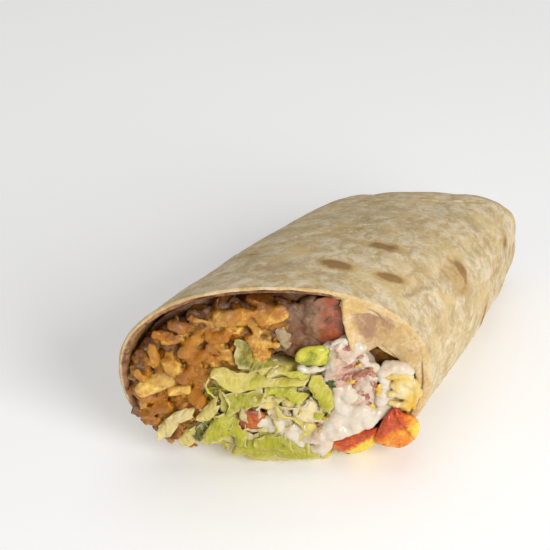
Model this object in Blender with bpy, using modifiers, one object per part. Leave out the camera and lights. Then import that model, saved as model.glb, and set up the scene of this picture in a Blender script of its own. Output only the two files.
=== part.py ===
"""Half of a burrito, cut across and lying on its side: a rolled flour tortilla and what fills it.

The roll runs along +Y, with the slanting cut at the -Y end and the tucked, closed end at +Y.
Shapes are worked out in millimetres on the mouth's section (x across, z up), which is then
carried along the roll, and become metres when a mesh is made.
"""

import math

import bmesh
import bpy
from mathutils import Vector, noise

METRES = 0.001  # a millimetre

# The roll
MOUTH_WIDTH = 66.0
MOUTH_HEIGHT = 57.5
END_WIDTH = 47.0
END_HEIGHT = 32.0
LENGTH = 100.0
BELLY = 2.3  # extra half-width at mid-length
SKEW = -3.0  # sideways drift of the closed end
PRESSED = 1.5  # how far the round underside is squashed flat
MOUTH_POWER = 2.25  # superellipse power of the section at the mouth
END_POWER = 3.2
TAPER_POWER = 1.14

# The cut and the closed end
CUT_ANGLE = 29.5  # degrees in plan
CUT_LEAN = -10.0  # the top of the cut leans out
END_ANGLE = 28.0
END_ROUND_UP = 16.0  # length over which the height closes
END_ROUND_ACROSS = 13.5
END_POWER_UP = 2.2  # how square those closing curves are
END_POWER_ACROSS = 2.5
END_KEPT_WIDTH = 0.74  # share of the width that the closed edge keeps
END_FOLD = 0.43  # height of the closed edge, as a share of the section

LIP_SETBACK = 2.5  # the lowest part of the lip is cut further back
LIP_SETBACK_HEIGHT = 16.0

# The tortilla: one and a half turns of a thin sheet. It starts inside, at the upper right, goes
# down the right, under, up the left and over the top, and ends outside, underneath.
LAYER = 1.9
TUCKED_WALL = 5.5  # the folded layers at the closed end
SEAM = math.radians(260)  # where the outer edge of the sheet lies
SEAM_FADE = math.radians(60)
INNER_EDGE = math.radians(62)  # where the inner edge lies
CURL = 5.8  # how far the inner edge curls into the filling
CURL_FROM = math.radians(6)
CURL_SHOULDER = math.radians(50)
CURL_TO = math.radians(57)
CURL_POWER = 0.7  # below 1 the curl is full-bodied
PRESSED_LAYER = 1.0  # the outer layer where the roll's weight presses it thin
PRESSED_FROM = 15  # degrees below the right side at which the layers start to thin
PRESSED_OVER = 20
SAG = 3.3  # the lower left is flattened near the mouth
SAG_AT = math.radians(236)
SAG_WIDTH = 0.3  # radians
SAG_LENGTH = 0.56  # share of the roll's length over which that fades
PLEATS = ((math.radians(68), 0.7), (math.radians(112), 0.9), (math.radians(146), 0.7))
PLEAT_WIDTH = 0.09  # radians
PLEATS_START = 0.35  # share of the roll's length
PLEATS_GROW = 0.5
WAVE = 0.3  # how much the outside undulates

# The filling
GAP = 0.3
WALL_GAP = 0.4
EDGE_CLEARANCE = 0.04  # radians kept beside the sheet's inner edge
FACE_LEAN = -6.0  # the filling's face stands more upright than the cut
SPILL = 1.5  # how far the filling spreads over the lower lip
BEANS_RELIEF = 1.5
BEANS_RECESS = -5.5  # the beans sink back under the top of the lip
BEANS_SINK_FROM = 12.0  # height at which they start to
BEANS_SINK_OVER = 20.0
BEANS_LUMPS = 2.0
BEANS_LUMP_SIZE = 5.0
FILLING_END = 0.86  # share of the roll's length that the longest layer reaches
END_STAGGER = 0.012  # each layer ends this much before the one listed below it
UNLIFTED = -5.0  # a lowest height that never binds
FACE_DEPTH = 0.05  # share of the length at which a layer becomes a plain run
LAYER_RINGS = 5
SPACE_REACH = 12.0  # how far each cutter reaches out of the cut
CUTTER_REACH = 20.0
POCKET_REACH = 6.0

SEGMENTS = 52
FILLING_SEGMENTS = 34
STEP_HALF_WIDTH = 0.003  # radians between the two sides of a step in a ring
STEP_CLEAR = 0.03  # radians kept clear of other points beside it
STATIONS = (0, 0.1, 0.23, 0.38, 0.53, 0.68, 0.8, 0.88, 0.92, 0.95, 0.975, 0.99, 0.998)
INNER_STATIONS = (0, 0.1, 0.24, 0.4, 0.56, 0.7, 0.8, 0.865, 0.9, 0.923, 0.937)

# Each layer: its outline at the mouth, a middle that sees all of that outline, how far its face
# stands out of the cut, how domed and how lumpy the face is, and its colour and roughness.
LAYERS = {
    "cheese": dict(
        outline=((22.5, 26), (27, 28.5), (33, 27), (35, 19), (31, 14.5), (26, 15.5), (22.8, 20)),
        middle=(27.5, 21), relief=1.2, dome=1.5, lumps=0.8, lump_size=4.0,
        color=(0.87, 0.56, 0.12), roughness=0.45,
    ),
    "lettuce_leaf": dict(
        outline=((-11, 2.5), (-6, 8.5), (-1, 10.8), (3.5, 8.5), (8, 5), (13, 4.2), (15, -3), (-5, -3)),
        middle=(0, 4), relief=2.5, dome=1.0, lumps=0.8, lump_size=4.0,
        color=(0.45, 0.55, 0.08), roughness=0.4,
    ),
    "sour_cream": dict(
        outline=((10.5, 29), (9.5, 35), (12, 39.5), (16, 40.8), (20, 38), (22.3, 34), (25, 31.2),
                 (29.5, 30), (34, 29.2), (31, 26), (27, 24), (26, 18), (22.5, 12.5), (17, 9),
                 (13.5, 7), (11, 8), (11.3, 13), (12.2, 20)),
        middle=(18, 27), relief=2.0, dome=2.0, lumps=1.0, lump_size=6.0,
        color=(0.86, 0.80, 0.72), roughness=0.3,
    ),
    "lettuce": dict(
        outline=((-25, 8.5), (-20.5, 12), (-16, 16), (-16.3, 23), (-15.5, 29), (-10, 32), (-2, 31.5), (5, 31),
                 (11.8, 28), (14, 20), (13.5, 12), (11, 7), (4, 5), (-3, 3), (-8, -3), (-15, -3), (-22, 2)),
        middle=(-3, 17), relief=2.2, dome=1.2, lumps=1.2, lump_size=6.0,
        color=(0.55, 0.58, 0.18), roughness=0.4,
    ),
    "rice": dict(
        outline=((-24.5, 8), (-28.5, 17), (-29.5, 26), (-26.8, 35), (-21, 42.5), (-11, 48.5), (-2, 50),
                 (4, 48), (4.8, 43), (2, 38), (-3, 31), (-12, 28), (-13, 22), (-13, 14), (-18, 5)),
        middle=(-19.5, 33), relief=0.8, dome=1.5, lumps=1.6, lump_size=5.0,
        color=(0.62, 0.32, 0.09), roughness=0.5,
    ),
}

# Each chunk: its middle at the mouth, how far in front of the cut that lies, its size
# (across, along, up) and its turn in degrees.
CHUNKS = {
    "tomato_1": dict(at=(9.9, 43.6), out=-3.5, size=(7.2, 8, 9.8), turn=(6, -6, 34)),
    "tomato_2": dict(at=(-4.4, 16.0), out=2.0, size=(8, 7, 6), turn=(-10, 8, 22)),
    "tomato_3": dict(at=(16.2, 6.9), out=4.2, size=(13.5, 6.5, 5.4), turn=(6, -24, 30)),
    "tomato_4": dict(at=(27.4, 13.2), out=5.8, size=(9, 7, 8.8), turn=(10, -14, 34)),
    "avocado": dict(at=(8.6, 33.4), out=1.6, size=(7.2, 7, 5.2), turn=(-8, 12, 26)),
}
TOMATO = (0.68, 0.12, 0.05)
AVOCADO = (0.62, 0.66, 0.10)
TORTILLA = (0.72, 0.60, 0.42)
BEANS = (0.36, 0.22, 0.15)
CHUNK_BEVEL = 1.1
CHUNK_TAPER = 0.16  # how much narrower the top is
CHUNK_SLOPE = 0.14  # how much lower the right side is

# The hollow left under the curled inner edge
HOLLOW = ((20.5, 38.7), (24.5, 38.5), (30, 35.5), (33, 32), (29, 30.8), (25.3, 31.8), (22.3, 34.5))
HOLLOW_DEPTH = 0.15  # share of the roll's length

# The shallow pocket between the curled inner edge and the outer layer
POCKET = ((17.6, 47.2), (22, 46.2), (26, 42.6), (25, 39.9), (21.4, 40.6), (18.8, 43))
POCKET_DEPTH = 0.07


def clamp01(value):
    return min(max(value, 0.0), 1.0)


def smooth(value):
    t = clamp01(value)
    return t * t * (3 - 2 * t)


def unit_outline(angle, power):
    """Radius of the unit superellipse of this power."""
    return (abs(math.cos(angle)) ** power + abs(math.sin(angle)) ** power) ** (-1 / power)


def closing(s, length, power):
    """1 along the roll, falling to 0 over the last `length` millimetres."""
    return math.sqrt(max(0.0, 1 - clamp01((s * LENGTH - LENGTH + length) / length) ** power))


def place(x, z, s, lift=0.0, forward=0.0, wall=0.0):
    """Carries the point (x, z) of the mouth's section to the share s of the roll's length.

    lift is the lowest height allowed, forward is a step out of the cut, and wall is the
    thickness of tortilla left behind the point at the closed end.
    """
    half_width, half_height = MOUTH_WIDTH / 2, MOUTH_HEIGHT / 2
    width = half_width + (END_WIDTH / 2 - half_width) * s + BELLY * math.sin(math.pi * s)
    height = half_height + (END_HEIGHT / 2 - half_height) * s**TAPER_POWER
    across, up = x / half_width, (z + PRESSED) / half_height - 1
    angle = math.atan2(up, across)
    power = MOUTH_POWER + (END_POWER - MOUTH_POWER) * s * s
    square = unit_outline(angle, power) / unit_outline(angle, MOUTH_POWER)
    up_left = closing(s + wall / LENGTH, END_ROUND_UP, END_POWER_UP)
    narrowing = closing(s + wall / LENGTH, END_ROUND_ACROSS, END_POWER_ACROSS)
    across_left = END_KEPT_WIDTH + (1 - END_KEPT_WIDTH) * narrowing
    fold = END_FOLD * 2 * height - PRESSED
    px = across * square * width * across_left + SKEW * s
    pz = fold + (height - PRESSED - fold) * up_left + up * square * height * up_left
    pz = max(pz, lift)
    cut = math.tan(math.radians(CUT_ANGLE)) * px + math.tan(math.radians(CUT_LEAN)) * (pz - half_height)
    cut += LIP_SETBACK * smooth(1 - pz / LIP_SETBACK_HEIGHT)
    end = LENGTH + math.tan(math.radians(END_ANGLE)) * px
    return Vector((px, cut * (1 - s) + end * s - forward, pz))


def section_point(angle, inset):
    """The point `inset` millimetres inside the mouth's outline at this angle."""
    half_width, half_height = MOUTH_WIDTH / 2, MOUTH_HEIGHT / 2
    radius = unit_outline(angle, MOUTH_POWER)
    a, b = radius * math.cos(angle), radius * math.sin(angle)
    nx = math.copysign(abs(a) ** (MOUTH_POWER - 1), a) / half_width
    nz = math.copysign(abs(b) ** (MOUTH_POWER - 1), b) / half_height
    size = math.hypot(nx, nz)
    return (
        a * half_width - inset * nx / size,
        (b + 1) * half_height - PRESSED - inset * nz / size,
    )


def seam_step(angle):
    """Depth of the step under the outer edge of the sheet, which fades out up the left side."""
    return PRESSED_LAYER * (1 - smooth((SEAM - angle) / SEAM_FADE)) if angle < SEAM else 0.0


def sag(angle, s):
    return SAG * math.exp(-(((angle - SAG_AT) / SAG_WIDTH) ** 2)) * (1 - clamp01(s / SAG_LENGTH))


def pleats(angle, s):
    """Depth of the lengthwise folds, which deepen towards the closed end."""
    depth = sum(deep * math.exp(-(((angle - at) / PLEAT_WIDTH) ** 2)) for at, deep in PLEATS)
    return depth * smooth((s - PLEATS_START) / PLEATS_GROW)


def outer_inset(angle, s):
    wave = WAVE * noise.noise(Vector((3 * math.cos(angle), 3 * math.sin(angle), 5 * s)))
    return seam_step(angle) + sag(angle, s) + pleats(angle, s) + wave * smooth(s / 0.2)


def inner_inset(angle, s):
    """Depth of the inner face: one layer, or two at the right and underneath, and the curled inner edge."""
    if SEAM > angle > INNER_EDGE:
        inset = LAYER + seam_step(angle)
    else:
        below = -math.degrees(angle if angle < INNER_EDGE else angle - math.tau)
        thinned = smooth(1 + (below - PRESSED_FROM) / PRESSED_OVER)
        inset = 2 * LAYER - (LAYER - PRESSED_LAYER) * thinned
    t = clamp01((angle - CURL_FROM) / (CURL_TO - CURL_FROM))
    return inset + sag(angle, s) + CURL * math.sin(math.pi * t) ** CURL_POWER


def filling_inset(angle, s):
    return max(inner_inset(angle, s), inner_inset(angle - EDGE_CLEARANCE, s)) + WALL_GAP


def ring_angles(breaks, count):
    """Even angles round the section, with a close pair on each side of a step."""
    angles = [math.tau * i / count for i in range(count)]
    angles = [a for a in angles if all(abs(a - b) > STEP_CLEAR for b in breaks)]
    for step in breaks:
        angles += [step - STEP_HALF_WIDTH, step + STEP_HALF_WIDTH]
    return sorted(angles)


def loft(bm, rings):
    """Joins rings of equal length with quads and returns their vertices."""
    made = [[bm.verts.new(point * METRES) for point in ring] for ring in rings]
    for first, second in zip(made, made[1:]):
        count = len(first)
        for i in range(count):
            j = (i + 1) % count
            bm.faces.new((first[i], first[j], second[j], second[i]))
    return made


def cap(bm, ring, middle):
    """Closes a ring with a fan round a middle point."""
    centre = bm.verts.new(middle * METRES)
    for i, vert in enumerate(ring):
        bm.faces.new((vert, ring[(i + 1) % len(ring)], centre))


def ring_middle(ring):
    return sum(ring, Vector()) / len(ring)


def finish(bm, name, collection, color, roughness):
    """Makes the object of a closed bmesh, facing out and smooth-shaded."""
    bmesh.ops.recalc_face_normals(bm, faces=bm.faces)
    bmesh.ops.triangulate(bm, faces=bm.faces)
    if bm.calc_volume(signed=True) < 0:
        bmesh.ops.reverse_faces(bm, faces=bm.faces)
    mesh = bpy.data.meshes.new(name)
    bm.to_mesh(mesh)
    bm.free()
    mesh.shade_smooth()
    mesh.set_sharp_from_angle(angle=math.radians(50))
    return add_object(name, mesh, collection, color, roughness)


def add_object(name, mesh, collection, color, roughness):
    obj = bpy.data.objects.new(name, mesh)
    collection.objects.link(obj)
    obj.parent = roll
    if collection is cutters:
        obj.hide_render = True
        obj.display_type = "WIRE"
    else:
        mesh.materials.append(material(name, color, roughness))
    return obj


def material(name, color, roughness):
    made = bpy.data.materials.new(name)
    made.use_nodes = True
    shader = made.node_tree.nodes["Principled BSDF"]
    shader.inputs["Base Color"].default_value = (*color, 1)
    shader.inputs["Roughness"].default_value = roughness
    shader.inputs["Metallic"].default_value = 0
    return made


def tortilla():
    bm = bmesh.new()
    angles = ring_angles((SEAM,), SEGMENTS)
    outer = [[place(*section_point(a, outer_inset(a, s)), s) for a in angles] for s in STATIONS]
    outside = loft(bm, outer)
    cap(bm, outside[-1], ring_middle(outer[-1]))
    angles = ring_angles((CURL_FROM, CURL_SHOULDER, CURL_TO, INNER_EDGE), SEGMENTS)
    inner = [
        [place(*section_point(a, inner_inset(a, s)), s, lift=LAYER, wall=TUCKED_WALL) for a in angles]
        for s in INNER_STATIONS
    ]
    inside = loft(bm, inner)
    cap(bm, inside[-1], ring_middle(inner[-1]))
    rim = [e for e in bm.edges if e.is_boundary]
    bmesh.ops.triangle_fill(bm, edges=rim, use_beauty=True)
    return finish(bm, "tortilla", parts, TORTILLA, 0.75)


def space(name, reach):
    """The space inside the roll, from in front of the cut to the tucked wall.

    In front of the cut it spreads over the lower lip.
    """
    bm = bmesh.new()
    rings = []
    angles = ring_angles((CURL_FROM, CURL_SHOULDER, CURL_TO, INNER_EDGE + EDGE_CLEARANCE), FILLING_SEGMENTS)
    for ahead in (reach, WALL_GAP):
        ring = []
        for a in angles:
            spill = (SPILL + WALL_GAP) * smooth(0.2 - 2.2 * math.sin(a))
            x, z = section_point(a, filling_inset(a, 0) - spill)
            ring.append(place(x, z, 0, lift=2 * GAP, forward=ahead))
        rings.append(ring)
    for s in INNER_STATIONS[::2]:
        rings.append([
            place(*section_point(a, filling_inset(a, s)), s, lift=LAYER + WALL_GAP, wall=TUCKED_WALL + GAP)
            for a in angles
        ])
    made = loft(bm, rings)
    cap(bm, made[0], ring_middle(rings[0]))
    cap(bm, made[-1], ring_middle(rings[-1]))
    return finish(bm, name, cutters, None, None)


def stand_out(x, z, relief, lumps, lump_size):
    """How far the filling's face stands in front of the cut at (x, z)."""
    lean = math.tan(math.radians(CUT_LEAN)) - math.tan(math.radians(FACE_LEAN))
    setback = LIP_SETBACK * smooth(1 - z / LIP_SETBACK_HEIGHT)
    lump = lumps * noise.noise(Vector((x / lump_size, 7.3, z / lump_size)))
    return lean * (z - MOUTH_HEIGHT / 2) + setback + relief + lump


def smooth_outline(points, steps):
    """A closed Catmull-Rom curve through the points."""
    made = []
    count = len(points)
    for i in range(count):
        p0, p1, p2, p3 = (Vector(points[(i + k) % count]) for k in (-1, 0, 1, 2))
        for step in range(steps):
            t = step / steps
            made.append(
                ((2 * p1) + (p2 - p0) * t + (2 * p0 - 5 * p1 + 4 * p2 - p3) * t * t
                 + (3 * p1 - p0 - 3 * p2 + p3) * t**3) / 2
            )
    return made


def grown(outline, by):
    """The outline moved out by this much."""
    made = []
    count = len(outline)
    turn = sum(outline[i].cross(outline[(i + 1) % count]) for i in range(count))
    side = 1 if turn > 0 else -1
    for i, point in enumerate(outline):
        before = (point - outline[i - 1]).normalized()
        after = (outline[(i + 1) % count] - point).normalized()
        along = (before + after).normalized()
        miter = max(0.4, along.dot(before))
        made.append(point + Vector((along.y, -along.x)) * side * by / miter)
    return made


def layer_solid(name, collection, spec, end, grow=0.0, reach=None):
    """A layer's outline carried along the roll, with a domed and lumpy face at the cut.

    A cutter is grown by the gap and reaches far out of the cut instead.
    """
    bm = bmesh.new()
    outline = grown(smooth_outline(spec["outline"], 2), grow)
    middle = Vector(spec["middle"])
    rings = []
    if reach is None:
        for share in (0.25, 0.5, 0.75, 0.9, 1.0):
            ring = []
            for point in outline:
                p = middle + (point - middle) * share
                ahead = stand_out(p.x, p.y, spec["relief"], spec["lumps"], spec["lump_size"])
                ring.append(place(p.x, p.y, 0, forward=ahead + spec["dome"] * (0.4 - share**4)))
            rings.append(ring)
    else:
        for ahead in (reach, 0):
            rings.append([place(p.x, p.y, 0, forward=ahead, lift=UNLIFTED) for p in outline])
    for i in range(LAYER_RINGS + 1):
        s = FACE_DEPTH + (end - FACE_DEPTH) * i / LAYER_RINGS
        rings.append([place(p.x, p.y, s, lift=UNLIFTED) for p in outline])
    made = loft(bm, rings)
    first = place(middle.x, middle.y, 0, lift=UNLIFTED)
    cap(bm, made[0], Vector((first.x, ring_middle(rings[0]).y, first.z)))
    cap(bm, made[-1], place(middle.x, middle.y, end, lift=UNLIFTED))
    return finish(bm, name, collection, spec.get("color"), spec.get("roughness"))


def beans():
    """Refried beans fill all the space that the other pieces leave.

    Their sides run into the wall here, and the inside's space trims them.
    """
    bm = bmesh.new()
    angles = ring_angles((), FILLING_SEGMENTS)
    middle = Vector((0, MOUTH_HEIGHT / 2))
    rings = []
    for share in (0.2, 0.45, 0.68, 0.87, 1.0):
        ring = []
        for a in angles:
            p = middle + (Vector(section_point(a, 0)) - middle) * share
            sunk = BEANS_RECESS * smooth((p.y - BEANS_SINK_FROM) / BEANS_SINK_OVER)
            ahead = stand_out(p.x, p.y, BEANS_RELIEF + sunk, BEANS_LUMPS, BEANS_LUMP_SIZE)
            ring.append(place(p.x, p.y, 0, forward=ahead, lift=UNLIFTED))
        rings.append(ring)
    for s in (0.1, 0.5, 0.8, 0.95):
        rings.append([place(*section_point(a, 0.3), s, lift=UNLIFTED, wall=1) for a in angles])
    made = loft(bm, rings)
    cap(bm, made[0], ring_middle(rings[0]))
    cap(bm, made[-1], ring_middle(rings[-1]))
    return finish(bm, "refried_beans", parts, BEANS, 0.55)


def chunk(name, collection, spec, grow=0.0, ahead=0.0):
    """A diced piece: a bevelled block with one tapered side, or the plain block that cuts its place."""
    bm = bmesh.new()
    bmesh.ops.create_cube(bm, size=1)
    wide, deep, high = (side + 2 * grow for side in spec["size"])
    for vert in bm.verts:
        x, y, z = vert.co
        narrow = 1 if grow else 1 - CHUNK_TAPER * (z + 0.5)
        slope = 1 if grow else 1 - CHUNK_SLOPE * (x + 0.5)
        reach = ahead if y < 0 else 0
        vert.co = Vector((x * wide * narrow, y * deep - reach, z * high * slope)) * METRES
    color = AVOCADO if name.startswith("avocado") else TOMATO
    made = finish(bm, name, collection, color, 0.25)
    x, z = spec["at"]
    made.location = place(x, z, 0, forward=spec["out"]) * METRES
    made.rotation_euler = [math.radians(t) for t in spec["turn"]]
    if not grow:
        bevel = made.modifiers.new("soft edges", "BEVEL")
        bevel.width = CHUNK_BEVEL * METRES
        bevel.segments = 2
    return made


def boolean(obj, other, operation):
    cut = obj.modifiers.new(f"{operation.lower()} {other.name}", "BOOLEAN")
    cut.operation = operation
    cut.solver = "EXACT"
    cut.object = other


def filling(wrap):
    """Every layer and chunk, each cut clear of the ones named before it, and the hollows beside them."""
    inside = space("inside", SPACE_REACH)
    pocket_spec = dict(outline=POCKET, middle=(22, 43.5))
    pocket = layer_solid("pocket", cutters, pocket_spec, POCKET_DEPTH, reach=POCKET_REACH)
    boolean(wrap, pocket, "DIFFERENCE")
    hollow_spec = dict(outline=HOLLOW, middle=(25, 33))
    hollow = layer_solid("hollow", cutters, hollow_spec, HOLLOW_DEPTH, reach=CUTTER_REACH)
    clear = []
    for name, spec in CHUNKS.items():
        chunk(name, parts, spec)
        clear.append(chunk(f"{name}_place", cutters, spec, grow=GAP, ahead=SPACE_REACH))
    for index, (name, spec) in enumerate(LAYERS.items()):
        end = FILLING_END - END_STAGGER * (len(LAYERS) - index)
        made = layer_solid(name, parts, spec, end)
        boolean(made, inside, "INTERSECT")
        for cutter in clear + [hollow]:
            boolean(made, cutter, "DIFFERENCE")
        place_end = end + GAP / LENGTH
        clear.append(layer_solid(f"{name}_place", cutters, spec, place_end, grow=GAP, reach=CUTTER_REACH))
    mash = beans()
    boolean(mash, inside, "INTERSECT")
    for cutter in clear + [hollow]:
        boolean(mash, cutter, "DIFFERENCE")


def stand_on_origin():
    """Moves everything so that the origin is under the middle of the bounding box."""
    graph = bpy.context.evaluated_depsgraph_get()
    corners = []
    for obj in parts.objects:
        evaluated = obj.evaluated_get(graph)
        corners += [evaluated.matrix_world @ Vector(c) for c in evaluated.bound_box]
    low = [min(c[axis] for c in corners) for axis in range(3)]
    high = [max(c[axis] for c in corners) for axis in range(3)]
    roll.location = (-(low[0] + high[0]) / 2, -(low[1] + high[1]) / 2, -low[2])


for old in list(bpy.data.objects):
    bpy.data.objects.remove(old, do_unlink=True)
parts = bpy.data.collections.new("burrito")
cutters = bpy.data.collections.new("cutters")
for group in (parts, cutters):
    bpy.context.scene.collection.children.link(group)
cutters.hide_render = True
roll = bpy.data.objects.new("roll", None)
parts.objects.link(roll)
filling(tortilla())
bpy.context.view_layer.update()
stand_on_origin()
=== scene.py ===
import math
import random

import bmesh
import bpy
import numpy as np
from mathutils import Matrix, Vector, kdtree, noise


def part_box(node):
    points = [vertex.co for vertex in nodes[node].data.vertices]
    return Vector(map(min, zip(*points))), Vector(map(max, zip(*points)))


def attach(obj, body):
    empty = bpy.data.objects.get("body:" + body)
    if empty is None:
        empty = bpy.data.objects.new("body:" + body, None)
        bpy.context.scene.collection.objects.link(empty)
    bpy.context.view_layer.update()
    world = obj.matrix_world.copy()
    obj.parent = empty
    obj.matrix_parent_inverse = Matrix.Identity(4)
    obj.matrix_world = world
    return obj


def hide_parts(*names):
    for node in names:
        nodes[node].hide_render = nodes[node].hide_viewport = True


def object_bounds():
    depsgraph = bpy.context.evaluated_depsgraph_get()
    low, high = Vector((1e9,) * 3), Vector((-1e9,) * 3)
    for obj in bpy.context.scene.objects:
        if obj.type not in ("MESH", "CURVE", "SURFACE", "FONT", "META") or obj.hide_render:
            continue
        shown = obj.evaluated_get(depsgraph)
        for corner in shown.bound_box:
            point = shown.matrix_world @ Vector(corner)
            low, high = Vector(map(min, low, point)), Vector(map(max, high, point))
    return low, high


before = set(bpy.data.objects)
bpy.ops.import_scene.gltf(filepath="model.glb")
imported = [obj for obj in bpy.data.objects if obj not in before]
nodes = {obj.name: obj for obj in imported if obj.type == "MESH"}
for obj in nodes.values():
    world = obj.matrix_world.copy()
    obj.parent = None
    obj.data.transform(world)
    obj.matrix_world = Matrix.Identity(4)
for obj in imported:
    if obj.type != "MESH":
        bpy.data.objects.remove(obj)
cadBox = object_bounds()
mm = 0.001

# The roll, in millimetres and degrees. These are the sizes that the model was made with.
roll = {
    "mouthWidth": 66.0, "mouthHeight": 57.5, "endWidth": 47.0, "endHeight": 32.0, "length": 100.0,
    "belly": 2.3, "skew": -3.0, "pressed": 1.5, "mouthPower": 2.25, "endPower": 3.2, "taperPower": 1.14,
    "cutAngle": 29.5, "cutLean": -10.0, "faceLean": -6.0, "endAngle": 28.0,
    "endRoundUp": 16.0, "endRoundAcross": 13.5, "endKeptWidth": 0.74, "endFold": 0.43,
    "lipSetback": 2.5, "lipSetbackHeight": 16.0,
}
sheet = {
    "layer": 1.9, "tuckedWall": 5.5, "seam": 260.0, "seamFade": 60.0, "innerEdge": 62.0,
    "curl": 5.8, "curlFrom": 6.0, "curlTo": 57.0, "pressedLayer": 1.0,
    "sag": 3.3, "sagAt": 236.0, "sagLength": 0.56,
    "pleats": ((68, 0.7), (112, 0.9), (146, 0.7)),
}


def easeStep(value):
    t = np.clip(value, 0, 1)
    return t * t * (3 - 2 * t)


def unitOutline(angle, power):
    return (np.abs(np.cos(angle)) ** power + np.abs(np.sin(angle)) ** power) ** (-1 / power)


def closing(s, length, power):
    near = np.clip((s * roll["length"] - roll["length"] + length) / length, 0, 1)
    return np.sqrt(np.maximum(0, 1 - near**power))


# Carries a point of the mouth's section (x across, z up) to the share s of the roll's length
def carry(x, z, s, lift=0.0, forward=0.0, wall=0.0):
    halfWidth, halfHeight = roll["mouthWidth"] / 2, roll["mouthHeight"] / 2
    width = halfWidth + (roll["endWidth"] / 2 - halfWidth) * s + roll["belly"] * np.sin(np.pi * s)
    height = halfHeight + (roll["endHeight"] / 2 - halfHeight) * s ** roll["taperPower"]
    across, up = x / halfWidth, (z + roll["pressed"]) / halfHeight - 1
    angle = np.arctan2(up, across)
    power = roll["mouthPower"] + (roll["endPower"] - roll["mouthPower"]) * s * s
    square = unitOutline(angle, power) / unitOutline(angle, roll["mouthPower"])
    inward = s + wall / roll["length"]
    upLeft = closing(inward, roll["endRoundUp"], 2.2)
    acrossLeft = roll["endKeptWidth"] + (1 - roll["endKeptWidth"]) * closing(inward, roll["endRoundAcross"], 2.5)
    fold = roll["endFold"] * 2 * height - roll["pressed"]
    px = across * square * width * acrossLeft + roll["skew"] * s
    pz = fold + (height - roll["pressed"] - fold) * upLeft + up * square * height * upLeft
    pz = np.maximum(pz, lift)
    cut = math.tan(math.radians(roll["cutAngle"])) * px + math.tan(math.radians(roll["cutLean"])) * (pz - halfHeight)
    cut = cut + roll["lipSetback"] * easeStep(1 - pz / roll["lipSetbackHeight"])
    end = roll["length"] + math.tan(math.radians(roll["endAngle"])) * px
    return np.stack([px, cut * (1 - s) + end * s - forward, pz], axis=-1)


def sectionPoint(angle, inset):
    halfWidth, halfHeight, power = roll["mouthWidth"] / 2, roll["mouthHeight"] / 2, roll["mouthPower"]
    radius = unitOutline(angle, power)
    a, b = radius * np.cos(angle), radius * np.sin(angle)
    nx = np.copysign(np.abs(a) ** (power - 1), a) / halfWidth
    nz = np.copysign(np.abs(b) ** (power - 1), b) / halfHeight
    size = np.hypot(nx, nz)
    return a * halfWidth - inset * nx / size, (b + 1) * halfHeight - roll["pressed"] - inset * nz / size


# How far the filling's face stands in front of the cut before any relief of its own
def faceForward(z):
    lean = math.tan(math.radians(roll["cutLean"])) - math.tan(math.radians(roll["faceLean"]))
    return lean * (z - roll["mouthHeight"] / 2) + roll["lipSetback"] * easeStep(1 - z / roll["lipSetbackHeight"])


# The roll was modelled from its own cut and then centred, so its CAD box says how far it moved
def rollShift():
    angles, shares = np.meshgrid(np.linspace(0, math.tau, 721), np.linspace(0, 0.998, 60))
    x, z = sectionPoint(angles, 0 * angles)
    made = carry(x, z, shares)
    low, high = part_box("tortilla")
    shift = [low.x / mm - made[..., 0].min(), low.y / mm - made[..., 1].min(), low.z / mm]
    shift[0] = ((low.x + high.x) / mm - made[..., 0].min() - made[..., 0].max()) / 2
    shift[1] = ((low.y + high.y) / mm - made[..., 1].min() - made[..., 1].max()) / 2
    return np.array(shift)


shift = rollShift()
print("roll moved by", shift.round(2), "mm")


def onFace(x, z, out=0.0):
    x, z = np.asarray(x, float), np.asarray(z, float)
    return carry(x, z, 0.0, lift=-50, forward=faceForward(z) + out)


# The same for a piece that stands out: set up and across, so that from the front right it sits over its bed
def standing(x, z, base, out):
    return onFace(np.asarray(x, float) + 0.405 * (base - 0.5), np.asarray(z, float) + 0.6 * (base - 0.5), out)


# Smooth noise of about one unit, for an array of points in millimetres
def rumple(points, size, seed=0, octaves=3):
    flat = (np.asarray(points, float).reshape(-1, 3) / size + seed * 17.3).tolist()
    made = np.array([noise.fractal(p, 1.0, 2.0, octaves) for p in flat])
    return made.reshape(np.asarray(points).shape[:-1])


# ---- shader tools


class Wire:
    # a socket that takes part in sums
    def __init__(self, finish, socket):
        self.finish, self.socket = finish, socket

    def maths(self, operation, first, second):
        return self.finish.node("ShaderNodeMath", {"operation": operation}, {0: first, 1: second})

    def __add__(self, other):
        return self.maths("ADD", self, other)

    __radd__ = __add__

    def __mul__(self, other):
        return self.maths("MULTIPLY", self, other)

    __rmul__ = __mul__

    def __sub__(self, other):
        return self.maths("SUBTRACT", self, other)

    def __rsub__(self, other):
        return self.maths("SUBTRACT", other, self)

    def __pow__(self, other):
        return self.maths("POWER", self, other)


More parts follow.
